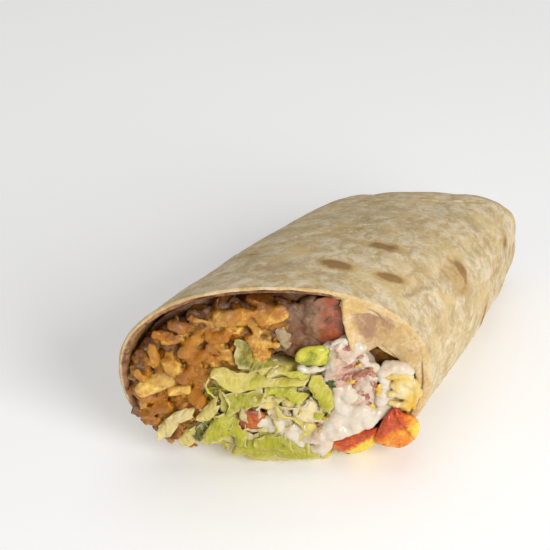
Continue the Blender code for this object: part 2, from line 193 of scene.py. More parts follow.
class Finish:
    # a Principled material that is built up wire by wire
    def __init__(self, name, **constants):
        self.material = bpy.data.materials.new(name)
        self.material.use_nodes = True
        self.tree = self.material.node_tree
        self.shader = self.tree.nodes["Principled BSDF"]
        self.place = self.node("ShaderNodeTexCoord", {}, {}, "Object")
        for socket, value in constants.items():
            self.shader.inputs[socket.replace("_", " ")].default_value = value

    def node(self, kind, settings, values, output=0):
        made = self.tree.nodes.new(kind)
        for key, value in settings.items():
            if key == "stops":
                ramp = made.color_ramp
                while len(ramp.elements) < len(value):
                    ramp.elements.new(0.5)
                for element, (position, color) in zip(ramp.elements, value):
                    element.position = position
                    element.color = (*color, 1) if isinstance(color, tuple) else (color, color, color, 1)
            else:
                setattr(made, key, value)
        for socket, value in values.items():
            if isinstance(value, Wire):
                self.tree.links.new(value.socket, made.inputs[socket])
            else:
                made.inputs[socket].default_value = value
        return Wire(self, made.outputs[output])

    def noise(self, sizeMm, detail=4.0, rough=0.55, warp=0.0, stretch=(1, 1, 1), at=0.0, output=0):
        scale = [s / (sizeMm * mm) for s in stretch]
        spot = self.node("ShaderNodeMapping", {}, {"Vector": self.place, "Scale": scale, "Location": (at, at, at)})
        values = {"Vector": spot, "Scale": 1.0, "Detail": detail, "Roughness": rough, "Distortion": warp}
        return self.node("ShaderNodeTexNoise", {}, values, output)

    def cells(self, sizeMm, feature="F1", output="Distance", random=1.0):
        values = {"Vector": self.place, "Scale": 1 / (sizeMm * mm), "Randomness": random}
        return self.node("ShaderNodeTexVoronoi", {"feature": feature}, values, output)

    def ramp(self, value, *stops):
        return self.node("ShaderNodeValToRGB", {"stops": stops}, {"Fac": value})

    def attribute(self, name):
        return self.node("ShaderNodeAttribute", {"attribute_name": name}, {}, "Fac")

    def blend(self, amount, first, second, mode="MIX"):
        def color(value):
            return value if isinstance(value, Wire) else (*value, 1)
        values = {0: amount, 6: color(first), 7: color(second)}
        return self.node("ShaderNodeMix", {"data_type": "RGBA", "blend_type": mode}, values, 2)

    def done(self, color, roughness=None, height=None, strength=0.5, distance=0.5):
        self.tree.links.new(color.socket, self.shader.inputs["Base Color"])
        if roughness is not None:
            self.tree.links.new(roughness.socket, self.shader.inputs["Roughness"])
        if height is not None:
            values = {"Height": height, "Strength": strength, "Distance": distance * mm}
            bump = self.node("ShaderNodeBump", {}, values, "Normal")
            self.tree.links.new(bump.socket, self.shader.inputs["Normal"])
        return self.material


# ---- mesh tools


def addPiece(name, points, faces, material, attributes=None, smooth=True):
    mesh = bpy.data.meshes.new(name)
    points = (np.asarray(points, float).reshape(-1, 3) + shift) * mm
    mesh.from_pydata(points.tolist(), [], [list(map(int, f)) for f in faces])
    mesh.validate()
    mesh.update()
    for key, values in (attributes or {}).items():
        made = mesh.attributes.new(key, "FLOAT", "POINT")
        made.data.foreach_set("value", np.asarray(values, np.float32).reshape(-1))
    if smooth:
        mesh.shade_smooth()
    mesh.materials.append(material)
    obj = bpy.data.objects.new(name, mesh)
    bpy.context.scene.collection.objects.link(obj)
    return obj


def pointsOf(obj):
    made = np.empty(len(obj.data.vertices) * 3)
    obj.data.vertices.foreach_get("co", made)
    return made.reshape(-1, 3) / mm - shift


def normalsOf(obj):
    made = np.empty(len(obj.data.vertices) * 3, np.float32)
    obj.data.vertex_normals.foreach_get("vector", made)
    return made.reshape(-1, 3).astype(float)


def movePoints(obj, points):
    obj.data.vertices.foreach_set("co", ((points + shift) * mm).reshape(-1))
    obj.data.update()


def store(obj, key, values):
    made = obj.data.attributes.get(key) or obj.data.attributes.new(key, "FLOAT", "POINT")
    made.data.foreach_set("value", np.asarray(values, np.float32))


# Applies the modifiers, so that a plain mesh is left
def bake(obj):
    graph = bpy.context.evaluated_depsgraph_get()
    mesh = bpy.data.meshes.new_from_object(obj.evaluated_get(graph))
    obj.modifiers.clear()
    obj.data = mesh
    return obj


def facingOut(obj):
    bm = bmesh.new()
    bm.from_mesh(obj.data)
    bmesh.ops.recalc_face_normals(bm, faces=bm.faces)
    bm.to_mesh(obj.data)
    bm.free()


# How far a point lies behind the cut, in millimetres
def behindCut(points):
    x, y, z = points[:, 0], points[:, 1], points[:, 2]
    cut = math.tan(math.radians(roll["cutAngle"])) * x
    cut = cut + math.tan(math.radians(roll["cutLean"])) * (z - roll["mouthHeight"] / 2)
    return y - cut - roll["lipSetback"] * easeStep(1 - z / roll["lipSetbackHeight"])


# A fine, soft copy of a CAD layer
def layerCopy(name, node, material, voxel, rounding):
    mesh = nodes[node].data.copy()
    mesh.materials.clear()
    bm = bmesh.new()
    bm.from_mesh(mesh)
    bmesh.ops.remove_doubles(bm, verts=bm.verts, dist=0.001 * mm)
    bm.to_mesh(mesh)
    bm.free()
    obj = bpy.data.objects.new(name, mesh)
    bpy.context.scene.collection.objects.link(obj)
    remesh = obj.modifiers.new("even", "REMESH")
    remesh.mode = "VOXEL"
    remesh.voxel_size = voxel * mm
    if rounding:
        soften = obj.modifiers.new("soften", "SMOOTH")
        soften.factor = 0.5
        soften.iterations = rounding
    bake(obj)
    obj.data.materials.append(material)
    obj.data.shade_smooth()
    return obj


def settle(obj, slot, *replaced):
    low, high = (np.array(corner) / mm - shift for corner in cadBox)
    movePoints(obj, np.clip(pointsOf(obj), low, high))
    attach(obj, "root")
    if replaced:
        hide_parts(*replaced)
    return obj


# Distance in millimetres from points (x, z) to a closed outline, negative inside it
def outlineDistance(x, z, outline):
    corners = np.array(outline, float)
    best = np.full(x.shape, 1e9)
    inside = np.zeros(x.shape, bool)
    for (ax, az), (bx, bz) in zip(corners, np.roll(corners, -1, axis=0)):
        ex, ez = bx - ax, bz - az
        t = np.clip(((x - ax) * ex + (z - az) * ez) / (ex * ex + ez * ez), 0, 1)
        best = np.minimum(best, np.hypot(x - ax - t * ex, z - az - t * ez))
        crosses = ((az > z) != (bz > z)) & (x < (bx - ax) * (z - az) / (bz - az + 1e-12) + ax)
        inside ^= crosses
    return np.where(inside, -best, best)


def smoothPath(points, count):
    points = np.asarray(points, float)
    along = np.linspace(0, len(points) - 1, count)
    low = np.minimum(along.astype(int), len(points) - 2)
    t = (along - low)[:, None]
    p0, p1 = points[np.maximum(low - 1, 0)], points[low]
    p2, p3 = points[low + 1], points[np.minimum(low + 2, len(points) - 1)]
    return ((2 * p1) + (p2 - p0) * t + (2 * p0 - 5 * p1 + 4 * p2 - p3) * t**2
            + (3 * p1 - p0 - 3 * p2 + p3) * t**3) / 2


def closedPath(corners, perCorner=8):
    ring = np.array(corners, float)
    padded = np.concatenate([ring[-1:], ring, ring[:2]])
    return smoothPath(padded, (len(padded) - 1) * perCorner + 1)[perCorner:perCorner * (len(ring) + 1)]


# ---- tortilla

tortillaLook = {
    "warm": (0.53, 0.375, 0.165), "floury": (0.74, 0.62, 0.42), "grey": (0.38, 0.275, 0.145),
    "toasted": (0.29, 0.155, 0.05), "toastedEdge": (0.54, 0.35, 0.125), "butter": (0.66, 0.49, 0.22), "moist": (0.42, 0.23, 0.08),
    "lip": (0.56, 0.38, 0.16), "gold": (0.60, 0.38, 0.13), "pale": (0.72, 0.58, 0.36), "stain": (0.36, 0.19, 0.105),
    "mash": (0.30, 0.135, 0.06), "mashDark": (0.13, 0.045, 0.015),
    "ringsRound": 430, "ringsAlong": 118, "ringsEnd": 30, "rimRings": 22, "lipRounding": 0.55,
    # toasted spots: degrees round the roll, share along it, size round and along in mm, turn, how dark
    "spots": (
        (76, 0.17, 2.3, 4.6, 128, 1.15), (68, 0.33, 2.5, 3.6, 118, 1.15), (54, 0.155, 2.2, 3.5, 91, 1.15), (33, 0.375, 1.9, 4.2, 129, 1.0),
        (86, 0.46, 1.6, 1.4, 10, 0.55), (118, 0.30, 3.0, 1.6, 40, 0.6), (146, 0.55, 4.5, 2.2, 70, 0.9),
        (168, 0.25, 3.6, 1.8, 10, 0.8), (20, 0.72, 4.0, 2.2, 60, 0.7), (-12, 0.45, 5.0, 2.0, 35, 0.9),
        (-30, 0.2, 3.4, 1.8, 5, 0.8), (200, 0.6, 4.0, 2.6, 20, 0.8), (130, 0.8, 3.0, 2.0, 0, 0.7),
        (95, 0.9, 2.6, 1.4, 30, 0.5), (0, 0.86, 3.0, 1.6, 80, 0.6), (215, 0.32, 3.2, 2.2, 60, 0.7),
    ),
    # larger blistered rings: a pale middle inside a tan ring
    "rings": ((33, 0.335, 5.4, 7.2, 126, 1.0), (158, 0.78, 4.5, 4.0, 0, 0.6), (110, 0.62, 3.6, 3.4, 30, 0.35),
              (-20, 0.66, 4.2, 4.6, 20, 0.6), (190, 0.42, 4.4, 5.0, 50, 0.6), (72, 0.62, 4.0, 3.2, 0, 0.25)),
    # creases: (degrees, share) along each, then depth and width in mm
    "creases": (
        (((112, 0.36), (106, 0.40), (97, 0.42), (87, 0.42)), 0.4, 1.3),
        (((93, 0.58), (81, 0.48), (72, 0.40), (64, 0.30)), 0.4, 1.3),
        (((78, 0.76), (72, 0.77), (61, 0.78), (50, 0.83)), 0.55, 0.8),
        (((102, 0.5), (92, 0.48), (84, 0.5)), 0.35, 0.7), (((99, 0.44), (92, 0.445), (82, 0.46)), 0.3, 0.6),
        (((44, 0.1), (40, 0.25), (36, 0.5), (30, 0.8)), 0.4, 1.8),
        (((20, 0.05), (14, 0.3), (10, 0.6)), 0.45, 1.6), (((150, 0.2), (160, 0.5), (158, 0.8)), 0.4, 1.8),
        (((-40, 0.9), (0, 0.93), (30, 0.9)), 0.7, 1.2), (((175, 0.93), (140, 0.92), (110, 0.9)), 0.6, 1.2),
    ),
    "smear": ((16.9, 46.4), (18, 47.6), (20.3, 47.4), (22.8, 45.6), (24.6, 43.0), (23, 40.6), (20.5, 39.4),
              (19.5, 36.5), (18.2, 36), (17.4, 40.4)),
    "pocket": ((17.4, 46.2), (18.4, 46.9), (20.6, 46.6), (22.8, 44.9), (23.8, 43.2), (22.4, 41.6), (19.9, 40.8),
               (18.2, 41.6)),
}


def seamStep(angle):
    seam, fade = math.radians(sheet["seam"]), math.radians(sheet["seamFade"])
    step = sheet["pressedLayer"] * (1 - easeStep((seam - angle) / fade))
    return np.where(angle < seam, step, 0.0)


def sag(angle, s):
    dip = np.exp(-(((angle - math.radians(sheet["sagAt"])) / 0.3) ** 2))
    return sheet["sag"] * dip * (1 - np.clip(s / sheet["sagLength"], 0, 1))


def outerInset(angle, s):
    folds = sum(deep * np.exp(-(((angle - math.radians(at)) / 0.09) ** 2)) for at, deep in sheet["pleats"])
    wave = 0.3 * rumple(np.stack([3 * np.cos(angle), 3 * np.sin(angle), 5 * s], -1), 1.0, 0, 1)
    return seamStep(angle) + sag(angle, s) + folds * easeStep((s - 0.35) / 0.5) + wave * easeStep(s / 0.2)


def innerInset(angle, s):
    edge, seam, layer = math.radians(sheet["innerEdge"]), math.radians(sheet["seam"]), sheet["layer"]
    below = -15 - np.degrees(np.where(angle < edge, angle, angle - math.tau))
    doubled = 2 * layer - (layer - sheet["pressedLayer"]) * easeStep(1 + below / 20)
    inset = np.where((angle > edge) & (angle < seam), layer + seamStep(angle), doubled)
    start, stop = math.radians(sheet["curlFrom"]), math.radians(sheet["curlTo"])
    t = np.clip((angle - start) / (stop - start), 0, 1)
    return inset + sag(angle, s) + sheet["curl"] * np.sin(math.pi * t) ** 0.7


# Distances round and along the roll, in mm, from each surface point to a place on it
def fromSpot(angle, s, atDegrees, share, turn):
    round_ = (angle - math.radians(atDegrees) + math.pi) % math.tau - math.pi
    u, v = round_ * (31 - 9 * s), (s - share) * roll["length"]
    c, n = math.cos(math.radians(turn)), math.sin(math.radians(turn))
    return u * c + v * n, v * c - u * n


def creaseField(angle, s):
    depth = np.zeros(angle.shape)
    for path, deep, wide in tortillaLook["creases"]:
        line = smoothPath([(math.radians(a) * 27, b * roll["length"]) for a, b in path], 24)
        turned = (angle + math.pi / 2) % math.tau - math.pi / 2
        u, v = turned * 27, s * roll["length"]
        best = np.full(angle.shape, 1e9)
        for i, (pu, pv) in enumerate(line):
            ending = 1 + 3 * abs(2 * i / (len(line) - 1) - 1) ** 3  # the crease dies out at its ends
            best = np.minimum(best, np.hypot(u - pu, v - pv) * ending ** 0.5)
        depth += deep * np.exp(-((best / wide) ** 2)) - 0.35 * deep * np.exp(-(((best - 1.9 * wide) / wide) ** 2))
    return depth


def toastField(angle, s):
    field = np.zeros(angle.shape)
    for at, share, wide, long, turn, dark in tortillaLook["spots"]:
        u, v = fromSpot(angle, s, at, share, turn)
        field = np.maximum(field, dark * np.exp(-((u / wide) ** 2 + (v / long) ** 2) * 1.1))
    for at, share, wide, long, turn, dark in tortillaLook["rings"]:
        u, v = fromSpot(angle, s, at, share, turn)
        reach = np.hypot(u / wide, v / long)
        broken = 0.6 + 0.5 * rumple(np.stack([u, v, 0 * u], -1), 3.5, 12, 2)
        field = np.maximum(field, 0.75 * dark * broken * np.exp(-(((reach - 0.72) / 0.3) ** 2)))
        field = np.maximum(field, 0.4 * dark * np.exp(-((reach / 0.8) ** 4)))
    return field


def tortillaFinish():
    look = tortillaLook
    f = Finish("tortilla", Subsurface_Weight=0.12, Subsurface_Scale=0.0025)
    f.shader.inputs["Subsurface Radius"].default_value = (1.0, 0.6, 0.35)
    broad, patch, fine = f.noise(13, 4, 0.6, 0.4), f.noise(5.5, 5, 0.62, 0.6, at=3.1), f.noise(0.9, 3, 0.6, at=7.7)
    streak = f.noise(2.6, 5, 0.65, 0.8, stretch=(1, 0.7, 1), at=5.3)
    flour = f.ramp(patch * 0.5 + streak * 0.5, (0.42, 0.0), (0.56, 1.0))
    color = f.blend(flour, look["warm"], look["floury"])
    color = f.blend(f.ramp(f.noise(9, 4, 0.6, 0.8, at=21.0), (0.50, 0.0), (0.62, 0.75)), color, look["butter"])
    color = f.blend(f.ramp(broad * 0.6 + fine * 0.4, (0.50, 0.0), (0.64, 0.6)), color, look["grey"])
    color = f.blend(f.ramp(f.noise(1.7, 3, 0.6, at=11.0), (0.60, 0.0), (0.74, 0.4)), color, look["toastedEdge"])
    toast = f.attribute("toast")
    burnt = toast * 1.1 + (f.noise(1.5, 5, 0.7, 0.8, at=2.2) - 0.5) * toast * 1.5
    color = f.blend(f.ramp(burnt, (0.12, 0.0), (0.44, 0.8)), color, look["toastedEdge"])
    color = f.blend(f.ramp(burnt, (0.40, 0.0), (0.72, 0.9)), color, look["toasted"])
    # painted shade: creases and the groove in the lip are darkened towards grey
    color = f.blend(f.attribute("crease") * 0.55, color, look["grey"])
    lipColor = f.blend(f.attribute("gold"), look["lip"], look["gold"])
    lipColor = f.blend(f.ramp(patch * 0.6 + fine * 0.4, (0.44, 0.0), (0.60, 0.8)), lipColor, look["pale"])
    color = f.blend(f.attribute("rim"), color, lipColor)
    mashed = f.noise(2.4, 5, 0.65, 0.8, at=6.6)
    mash = f.ramp(mashed, (0.36, look["mashDark"]), (0.52, look["mash"]), (0.70, look["moist"]))
    color = f.blend(f.attribute("mash"), color, mash)
    stained = f.attribute("smear") + (f.noise(2.2, 4, 0.6, 0.8, at=9.1) - 0.5) * 0.9
    color = f.blend(f.ramp(stained, (0.35, 0.0), (0.8, 0.9)), color, look["stain"])
    color = f.blend(f.attribute("inside"), color, look["moist"])
    rough = f.ramp(f.attribute("inside") + f.attribute("smear") * 0.6 + f.attribute("mash"), (0.0, 0.78), (1.0, 0.42))
    height = patch * 0.5 + streak * 0.5 + fine * 0.22 + f.noise(0.4, 3, 0.6, at=1.0) * 0.07
    return f.done(color, rough, height, 0.85, 0.7)


tortillaSkin = tortillaFinish()


def makeTortilla():
    look = tortillaLook
    count = look["ringsRound"]
    base = np.arange(count) * math.tau / count
    seam, edge = math.radians(sheet["seam"]), math.radians(sheet["innerEdge"])
    near = (np.abs(base - seam) > 0.012) & (np.abs(base - edge) > 0.012)
    angles = np.sort(np.concatenate([base[near], [seam - 0.002, seam + 0.002, edge - 0.004, edge + 0.004]]))
    rows, fields, marks = [], [], ("rim", "inside", "toast", "crease", "smear", "mash")

    def addRows(points, **shown):
        rows.append(points)
        fields.append([np.ones(points.shape[:2]) * shown.get(key, 0.0) for key in marks])

    # the outside, from the closed end to the mouth
    shares = np.concatenate([np.linspace(0, 0.86, look["ringsAlong"]),
                             0.86 + 0.138 * np.sin(np.linspace(0, math.pi / 2, look["ringsEnd"] + 1)[1:])])
    a, s = np.meshgrid(angles, shares[::-1])
    creases, toast = creaseField(a, s), toastField(a, s)
    plain = sectionPoint(a, outerInset(a, s))
    flat = carry(*plain, s)
    ease = easeStep(s / 0.06) * 0.7 + 0.3
    relief = 0.32 * rumple(flat, 11, 3, 4) + 0.16 * rumple(flat * (1, 0.5, 1), 3.6, 5, 3) - 0.25
    relief += 0.28 * toast * (0.5 + rumple(flat, 1.5, 8, 2))
    x, z = sectionPoint(a, outerInset(a, s) + ease * (creases - relief))
    outside = carry(x, z, s)
    outside[-1, :, 1] += look["lipRounding"]
    # the creases' depth also sets their painted shade
    addRows(outside, toast=toast, crease=np.clip(creases, 0, 1))
    # the lip, from the outer edge to the inner one
    a0 = angles[None, :]
    outer, inner = outerInset(a0, 0 * a0) + 0.25, innerInset(a0, 0 * a0)
    t = (1 - np.cos(np.linspace(0, math.pi, look["rimRings"] + 2)[1:-1])) / 2
    t = (0.5 * t + 0.5 * np.linspace(0, 1, look["rimRings"] + 2)[1:-1])[:, None]
    inset = outer + (inner - outer) * t
    x, z = sectionPoint(a0 + 0 * t, inset)
    fromEdge = np.minimum(inset - outer, inner - inset)
    rounding = look["lipRounding"]
    lip = rounding * (1 - np.sqrt(np.clip(1 - (1 - np.clip(fromEdge / rounding, 0, 1)) ** 2, 0, 1)))
    turned = (np.degrees(a0) + 98) % 360 - 98
    doubled = easeStep((56 - turned) / 10)
    groove = np.exp(-(((inset - sheet["layer"] - 0.25) / 0.28) ** 2)) * doubled
    pocket = easeStep(0.5 - outlineDistance(x, z, look["pocket"]) / 2.0)
    smear = easeStep(0.5 - outlineDistance(x, z, look["smear"]) / 2.4)
    flap = easeStep((turned - 46) / 10) * easeStep((64 - turned) / 4) * easeStep((inset - 2.4) / 1.2)
    spot = np.stack([x, 0 * x, z], -1)
    out = -lip - 0.75 * groove - 3.8 * pocket + 0.5 * flap + 0.25 * rumple(spot, 4, 4, 3)
    mash = easeStep((inset - outer - 0.45 - 0.25 * rumple(spot, 5, 14, 2)) / 0.45)
    mash = mash * easeStep((turned - 60) / 6) * easeStep((262 - turned) / 20)
    above = easeStep(1 - abs(turned - 95) / 45)
    out += mash * (0.3 - 1.6 * above + 0.9 * rumple(spot, 3.2, 15, 3))
    rim = carry(x, z, 0 * x, lift=0, forward=out)
    # the groove between the doubled layers gets the same painted shade as the creases
    addRows(rim, rim=1.0, smear=smear, crease=np.clip(groove, 0, 1), mash=mash)
    # the inside
    depth = np.array([0, 0.008, 0.018, 0.03, 0.045, 0.065, 0.09, 0.12, 0.16, 0.22, 0.3, 0.4, 0.5, 0.6, 0.7, 0.8,
                      0.865, 0.9, 0.923, 0.937])
    a, s = np.meshgrid(angles, depth)
    x, z = sectionPoint(a, innerInset(a, s) - 0.12 * rumple(np.stack([a * 28, s * 100, 0 * a], -1), 5, 6, 3) * easeStep(s / 0.02))
    inside = carry(x, z, s, lift=sheet["layer"], wall=sheet["tuckedWall"])
    inside[0, :, 1] += rounding
    lined = easeStep((turned - 60) / 6) * easeStep((262 - turned) / 20)
    addRows(inside, rim=1.0, mash=lined + 0 * s, inside=easeStep(s / 0.03))
    grid = np.concatenate(rows)
    columns = [np.concatenate([f[i] for f in fields]) for i in range(len(marks))]
    high, wide = grid.shape[:2]
    index = np.arange(high * wide).reshape(high, wide)
    right = np.roll(index, -1, axis=1)
    faces = np.stack([index[:-1], right[:-1], right[1:], index[1:]], -1).reshape(-1, 4).tolist()
    points = grid.reshape(-1, 3)
    ends = np.array([grid[0].mean(0), grid[-1].mean(0)])
    points = np.concatenate([points, ends])
    for ring, centre in ((index[0], high * wide), (index[-1], high * wide + 1)):
        faces += [[int(ring[i]), int(ring[(i + 1) % wide]), centre] for i in range(wide)]
    gold = easeStep((points[:, 0] + 2) / 16) * (0.55 + 0.45 * easeStep((points[:, 2] - 20) / 20))
    named = {key: np.append(columns[i].reshape(-1), [0, 1 if key == "inside" else 0])
             for i, key in enumerate(marks)}
    named["gold"] = gold
    obj = addPiece("tortillaSheet", points, faces, tortillaSkin, named)
    facingOut(obj)
    return settle(obj, "tortilla", "tortilla")


makeTortilla()
print("tortilla done")


# ---- what lies at the cut

layers = {
    "rice": {"outline": ((-24.5, 8), (-28.5, 17), (-29.5, 25), (-28.6, 31), (-25.6, 36), (-24, 42), (-19.5, 41.5), (-17.5, 46.5), (-11, 50), (-2, 51.8),
                         (3.4, 50.2), (3.6, 44.5), (0.8, 41), (0.4, 35), (-4, 31), (-12, 28), (-13.5, 22), (-14, 14), (-18, 5)),
             "stands": 1.0},
    "lettuce": {"outline": ((-25, 8.5), (-20.5, 12), (-16, 16), (-16.3, 23), (-15.5, 29), (-10, 32), (-2, 31.5),
                            (5, 31), (11.8, 28), (14, 20), (13.5, 12), (11, 7), (4, 5), (-3, 4), (-8, 2),
                            (-15, 2), (-22, 4)), "stands": 2.4,
                "shredded": ((-16, 10), (-14.5, 22), (-13, 27), (-6, 29.5), (3, 30), (9, 28), (12, 20), (12, 12),
                             (10.5, 8), (7, 6), (1, 8), (-4, 8.5), (-10, 8))},
    "leaf": {"outline": ((-9, 4.5), (-6, 8), (-1, 10), (3.5, 8), (8, 5), (9, 2.5), (4, 1.2), (-5, 1.5)), "stands": 2.8},
    "cream": {"outline": ((10.5, 29), (9.5, 35), (12, 39.5), (16, 40.8), (20, 38), (22.3, 34), (25, 31.2),
                          (29, 30.4), (31, 29.2), (29, 26), (25, 24), (24, 18), (22.5, 12.5), (17, 9),
                          (13.5, 7), (11, 8), (11.3, 13), (12.2, 20)), "stands": 2.6},
    "cheese": {"outline": ((22.5, 25.5), (27, 28), (30.5, 26), (31, 19), (28, 16), (24.5, 16), (22.8, 20)), "stands": 1.6},
}


# A patch of the face inside an outline, which pieces are strewn over
def facePatch(name, outline, stands, margin, pitch=0.9):
    corners = np.array(outline)
    xs = np.arange(corners[:, 0].min(), corners[:, 0].max(), pitch)
    zs = np.arange(corners[:, 1].min(), corners[:, 1].max(), pitch)
    x, z = np.meshgrid(xs, zs)
    inside = outlineDistance(x, z, outline) < -margin
    index = np.where(inside, np.cumsum(inside.reshape(-1)).reshape(inside.shape) - 1, -1)
    cells = np.stack([index[:-1, :-1], index[:-1, 1:], index[1:, 1:], index[1:, :-1]], -1).reshape(-1, 4)
    cells = cells[(cells >= 0).all(1)]
    points = onFace(x[inside], z[inside], stands)
    return addPiece(name, points, cells.tolist(), strewnStock)


strewnStock = bpy.data.materials.new("stock")


# Strews the pieces of a collection over the object's own surface and leaves only them
def strewTree():
    tree = bpy.data.node_groups.new("strew", "GeometryNodeTree")
    face = tree.interface
    face.new_socket("Geometry", in_out="INPUT", socket_type="NodeSocketGeometry")
    kinds = {"Pieces": "NodeSocketCollection", "Finish": "NodeSocketMaterial", "Spacing": "NodeSocketFloat",
             "Smallest": "NodeSocketFloat", "Largest": "NodeSocketFloat", "Tilt": "NodeSocketFloat",
             "Sink": "NodeSocketFloat", "Scatter Depth": "NodeSocketFloat", "Seed": "NodeSocketInt"}
    for name, kind in kinds.items():
        face.new_socket(name, in_out="INPUT", socket_type=kind)
    face.new_socket("Geometry", in_out="OUTPUT", socket_type="NodeSocketGeometry")
    nodes_ = tree.nodes
    begin, end = nodes_.new("NodeGroupInput"), nodes_.new("NodeGroupOutput")

    def add(kind, settings, links):
        made = nodes_.new(kind)
        for key, value in settings.items():
            setattr(made, key, value)
        for socket, value in links.items():
            if isinstance(value, bpy.types.NodeSocket):
                tree.links.new(value, made.inputs[socket])
            else:
                made.inputs[socket].default_value = value
        return made

    spread = add("GeometryNodeDistributePointsOnFaces", {"distribute_method": "POISSON"},
                 {"Mesh": begin.outputs["Geometry"], "Distance Min": begin.outputs["Spacing"], "Density Max": 4e6,
                  "Seed": begin.outputs["Seed"]})
    depth = add("FunctionNodeRandomValue", {"data_type": "FLOAT"},
                {2: 0.0, 3: begin.outputs["Scatter Depth"], "Seed": 5})
    total = add("ShaderNodeMath", {"operation": "ADD"}, {0: depth.outputs[1], 1: begin.outputs["Sink"]})
    down = add("ShaderNodeMath", {"operation": "MULTIPLY"}, {0: total.outputs[0], 1: -1.0})
    offset = add("ShaderNodeVectorMath", {"operation": "SCALE"},
                 {0: spread.outputs["Normal"], "Scale": down.outputs[0]})
    sunk = add("GeometryNodeSetPosition", {}, {"Geometry": spread.outputs["Points"], "Offset": offset.outputs[0]})
    turn = add("FunctionNodeRandomValue", {"data_type": "FLOAT_VECTOR"},
               {0: (0, 0, 0), 1: (0, 0, math.tau), "Seed": 11})
    turned = add("FunctionNodeRotateRotation", {"rotation_space": "LOCAL"},
                 {0: spread.outputs["Rotation"], 1: turn.outputs[0]})
    lowTilt = add("ShaderNodeMath", {"operation": "MULTIPLY"}, {0: begin.outputs["Tilt"], 1: -1.0})
    lows = add("ShaderNodeCombineXYZ", {}, {0: -math.pi, 1: lowTilt.outputs[0]})
    highs = add("ShaderNodeCombineXYZ", {}, {0: math.pi, 1: begin.outputs["Tilt"]})
    tip = add("FunctionNodeRandomValue", {"data_type": "FLOAT_VECTOR"},
              {0: lows.outputs[0], 1: highs.outputs[0], "Seed": 23})
    tipped = add("FunctionNodeRotateRotation", {"rotation_space": "LOCAL"},
                 {0: turned.outputs[0], 1: tip.outputs[0]})
    stock = add("GeometryNodeCollectionInfo", {"transform_space": "ORIGINAL"},
                {"Collection": begin.outputs["Pieces"], "Separate Children": True, "Reset Children": True})
    size = add("FunctionNodeRandomValue", {"data_type": "FLOAT"},
               {2: begin.outputs["Smallest"], 3: begin.outputs["Largest"], "Seed": 31})
    laid = add("GeometryNodeInstanceOnPoints", {},
               {"Points": sunk.outputs[0], "Instance": stock.outputs[0], "Pick Instance": True,
                "Rotation": tipped.outputs[0], "Scale": size.outputs[1]})
    tone = add("FunctionNodeRandomValue", {"data_type": "FLOAT"}, {2: 0.0, 3: 1.0, "Seed": 41})
    marked = add("GeometryNodeStoreNamedAttribute", {"data_type": "FLOAT", "domain": "INSTANCE"},
                 {"Geometry": laid.outputs[0], "Name": "tone", "Value": tone.outputs[1]})
    real = add("GeometryNodeRealizeInstances", {}, {"Geometry": marked.outputs[0]})
    done = add("GeometryNodeSetMaterial", {}, {"Geometry": real.outputs[0], "Material": begin.outputs["Finish"]})
    tree.links.new(done.outputs[0], end.inputs[0])
    return tree


strewing = strewTree()


def strew(name, patch, stock, finish, spacing, smallest=0.8, largest=1.1, tilt=0.4, sink=0.0, deep=0.0, seed=1):
    modifier = patch.modifiers.new("strew", "NODES")
    modifier.node_group = strewing
    wanted = {"Pieces": stock, "Finish": finish, "Spacing": spacing * mm, "Smallest": float(smallest),
              "Largest": float(largest), "Tilt": float(tilt), "Sink": sink * mm, "Scatter Depth": deep * mm, "Seed": seed}
    for item in strewing.interface.items_tree:
        if item.name in wanted and item.in_out == "INPUT":
            modifier[item.identifier] = wanted[item.name]
    bake(patch)
    patch.name = name
    spread = patch.data.attributes.get("tone")
    if spread is None:
        raise RuntimeError(name + " strewed nothing")
    patch.data.polygons.foreach_set("material_index", [0] * len(patch.data.polygons))
    patch.data.materials.clear()
    patch.data.materials.append(finish)
    patch.data.shade_smooth()
    return patch


# A collection of shapes that is kept out of the scene
def stockOf(name, shapes):
    made = bpy.data.collections.new(name)
    for index, (points, faces) in enumerate(shapes):
        mesh = bpy.data.meshes.new(f"{name}{index}")
        mesh.from_pydata((np.asarray(points) * mm).tolist(), [], faces)
        mesh.update()
        made.objects.link(bpy.data.objects.new(f"{name}{index}", mesh))
    return made


# A grain: a blunt spindle along x, a little bent, with uneven sides
def grainShape(length, width, bend, blunt, seed, around=8, along=9):
    t = np.sin(np.linspace(-math.pi / 2, math.pi / 2, along))[1:-1]
    rows = []
    for share in t:
        radius = width / 2 * (1 - abs(share) ** blunt) ** (1 / 2.2)
        a = np.arange(around) * math.tau / around
        wobble = 1 + 0.16 * np.sin(2 * a + seed + 2.0 * share) + 0.10 * np.sin(3 * a + 2.3 * seed + 4 * share)
        rows.append(np.stack([0 * a + share * length / 2, radius * wobble * np.cos(a),
                              0.72 * radius * wobble * np.sin(a) + bend * (1 - share**2)], -1))
    grid = np.stack(rows)
    grid[..., 1] += 0.35 * bend * np.sin(grid[..., 0] * 0.7 + seed)
    points = np.concatenate([grid.reshape(-1, 3), [[-length / 2, 0, 0], [length / 2, 0, 0]]])
    high, wide = grid.shape[:2]
    faces = []
    for i in range(high - 1):
        for j in range(wide):
            k = (j + 1) % wide
            faces.append([i * wide + k, i * wide + j, (i + 1) * wide + j, (i + 1) * wide + k][::-1])
    for j in range(wide):
        k = (j + 1) % wide
        faces.append([high * wide, k, j])
        faces.append([high * wide + 1, (high - 1) * wide + j, (high - 1) * wide + k])
    return points, faces


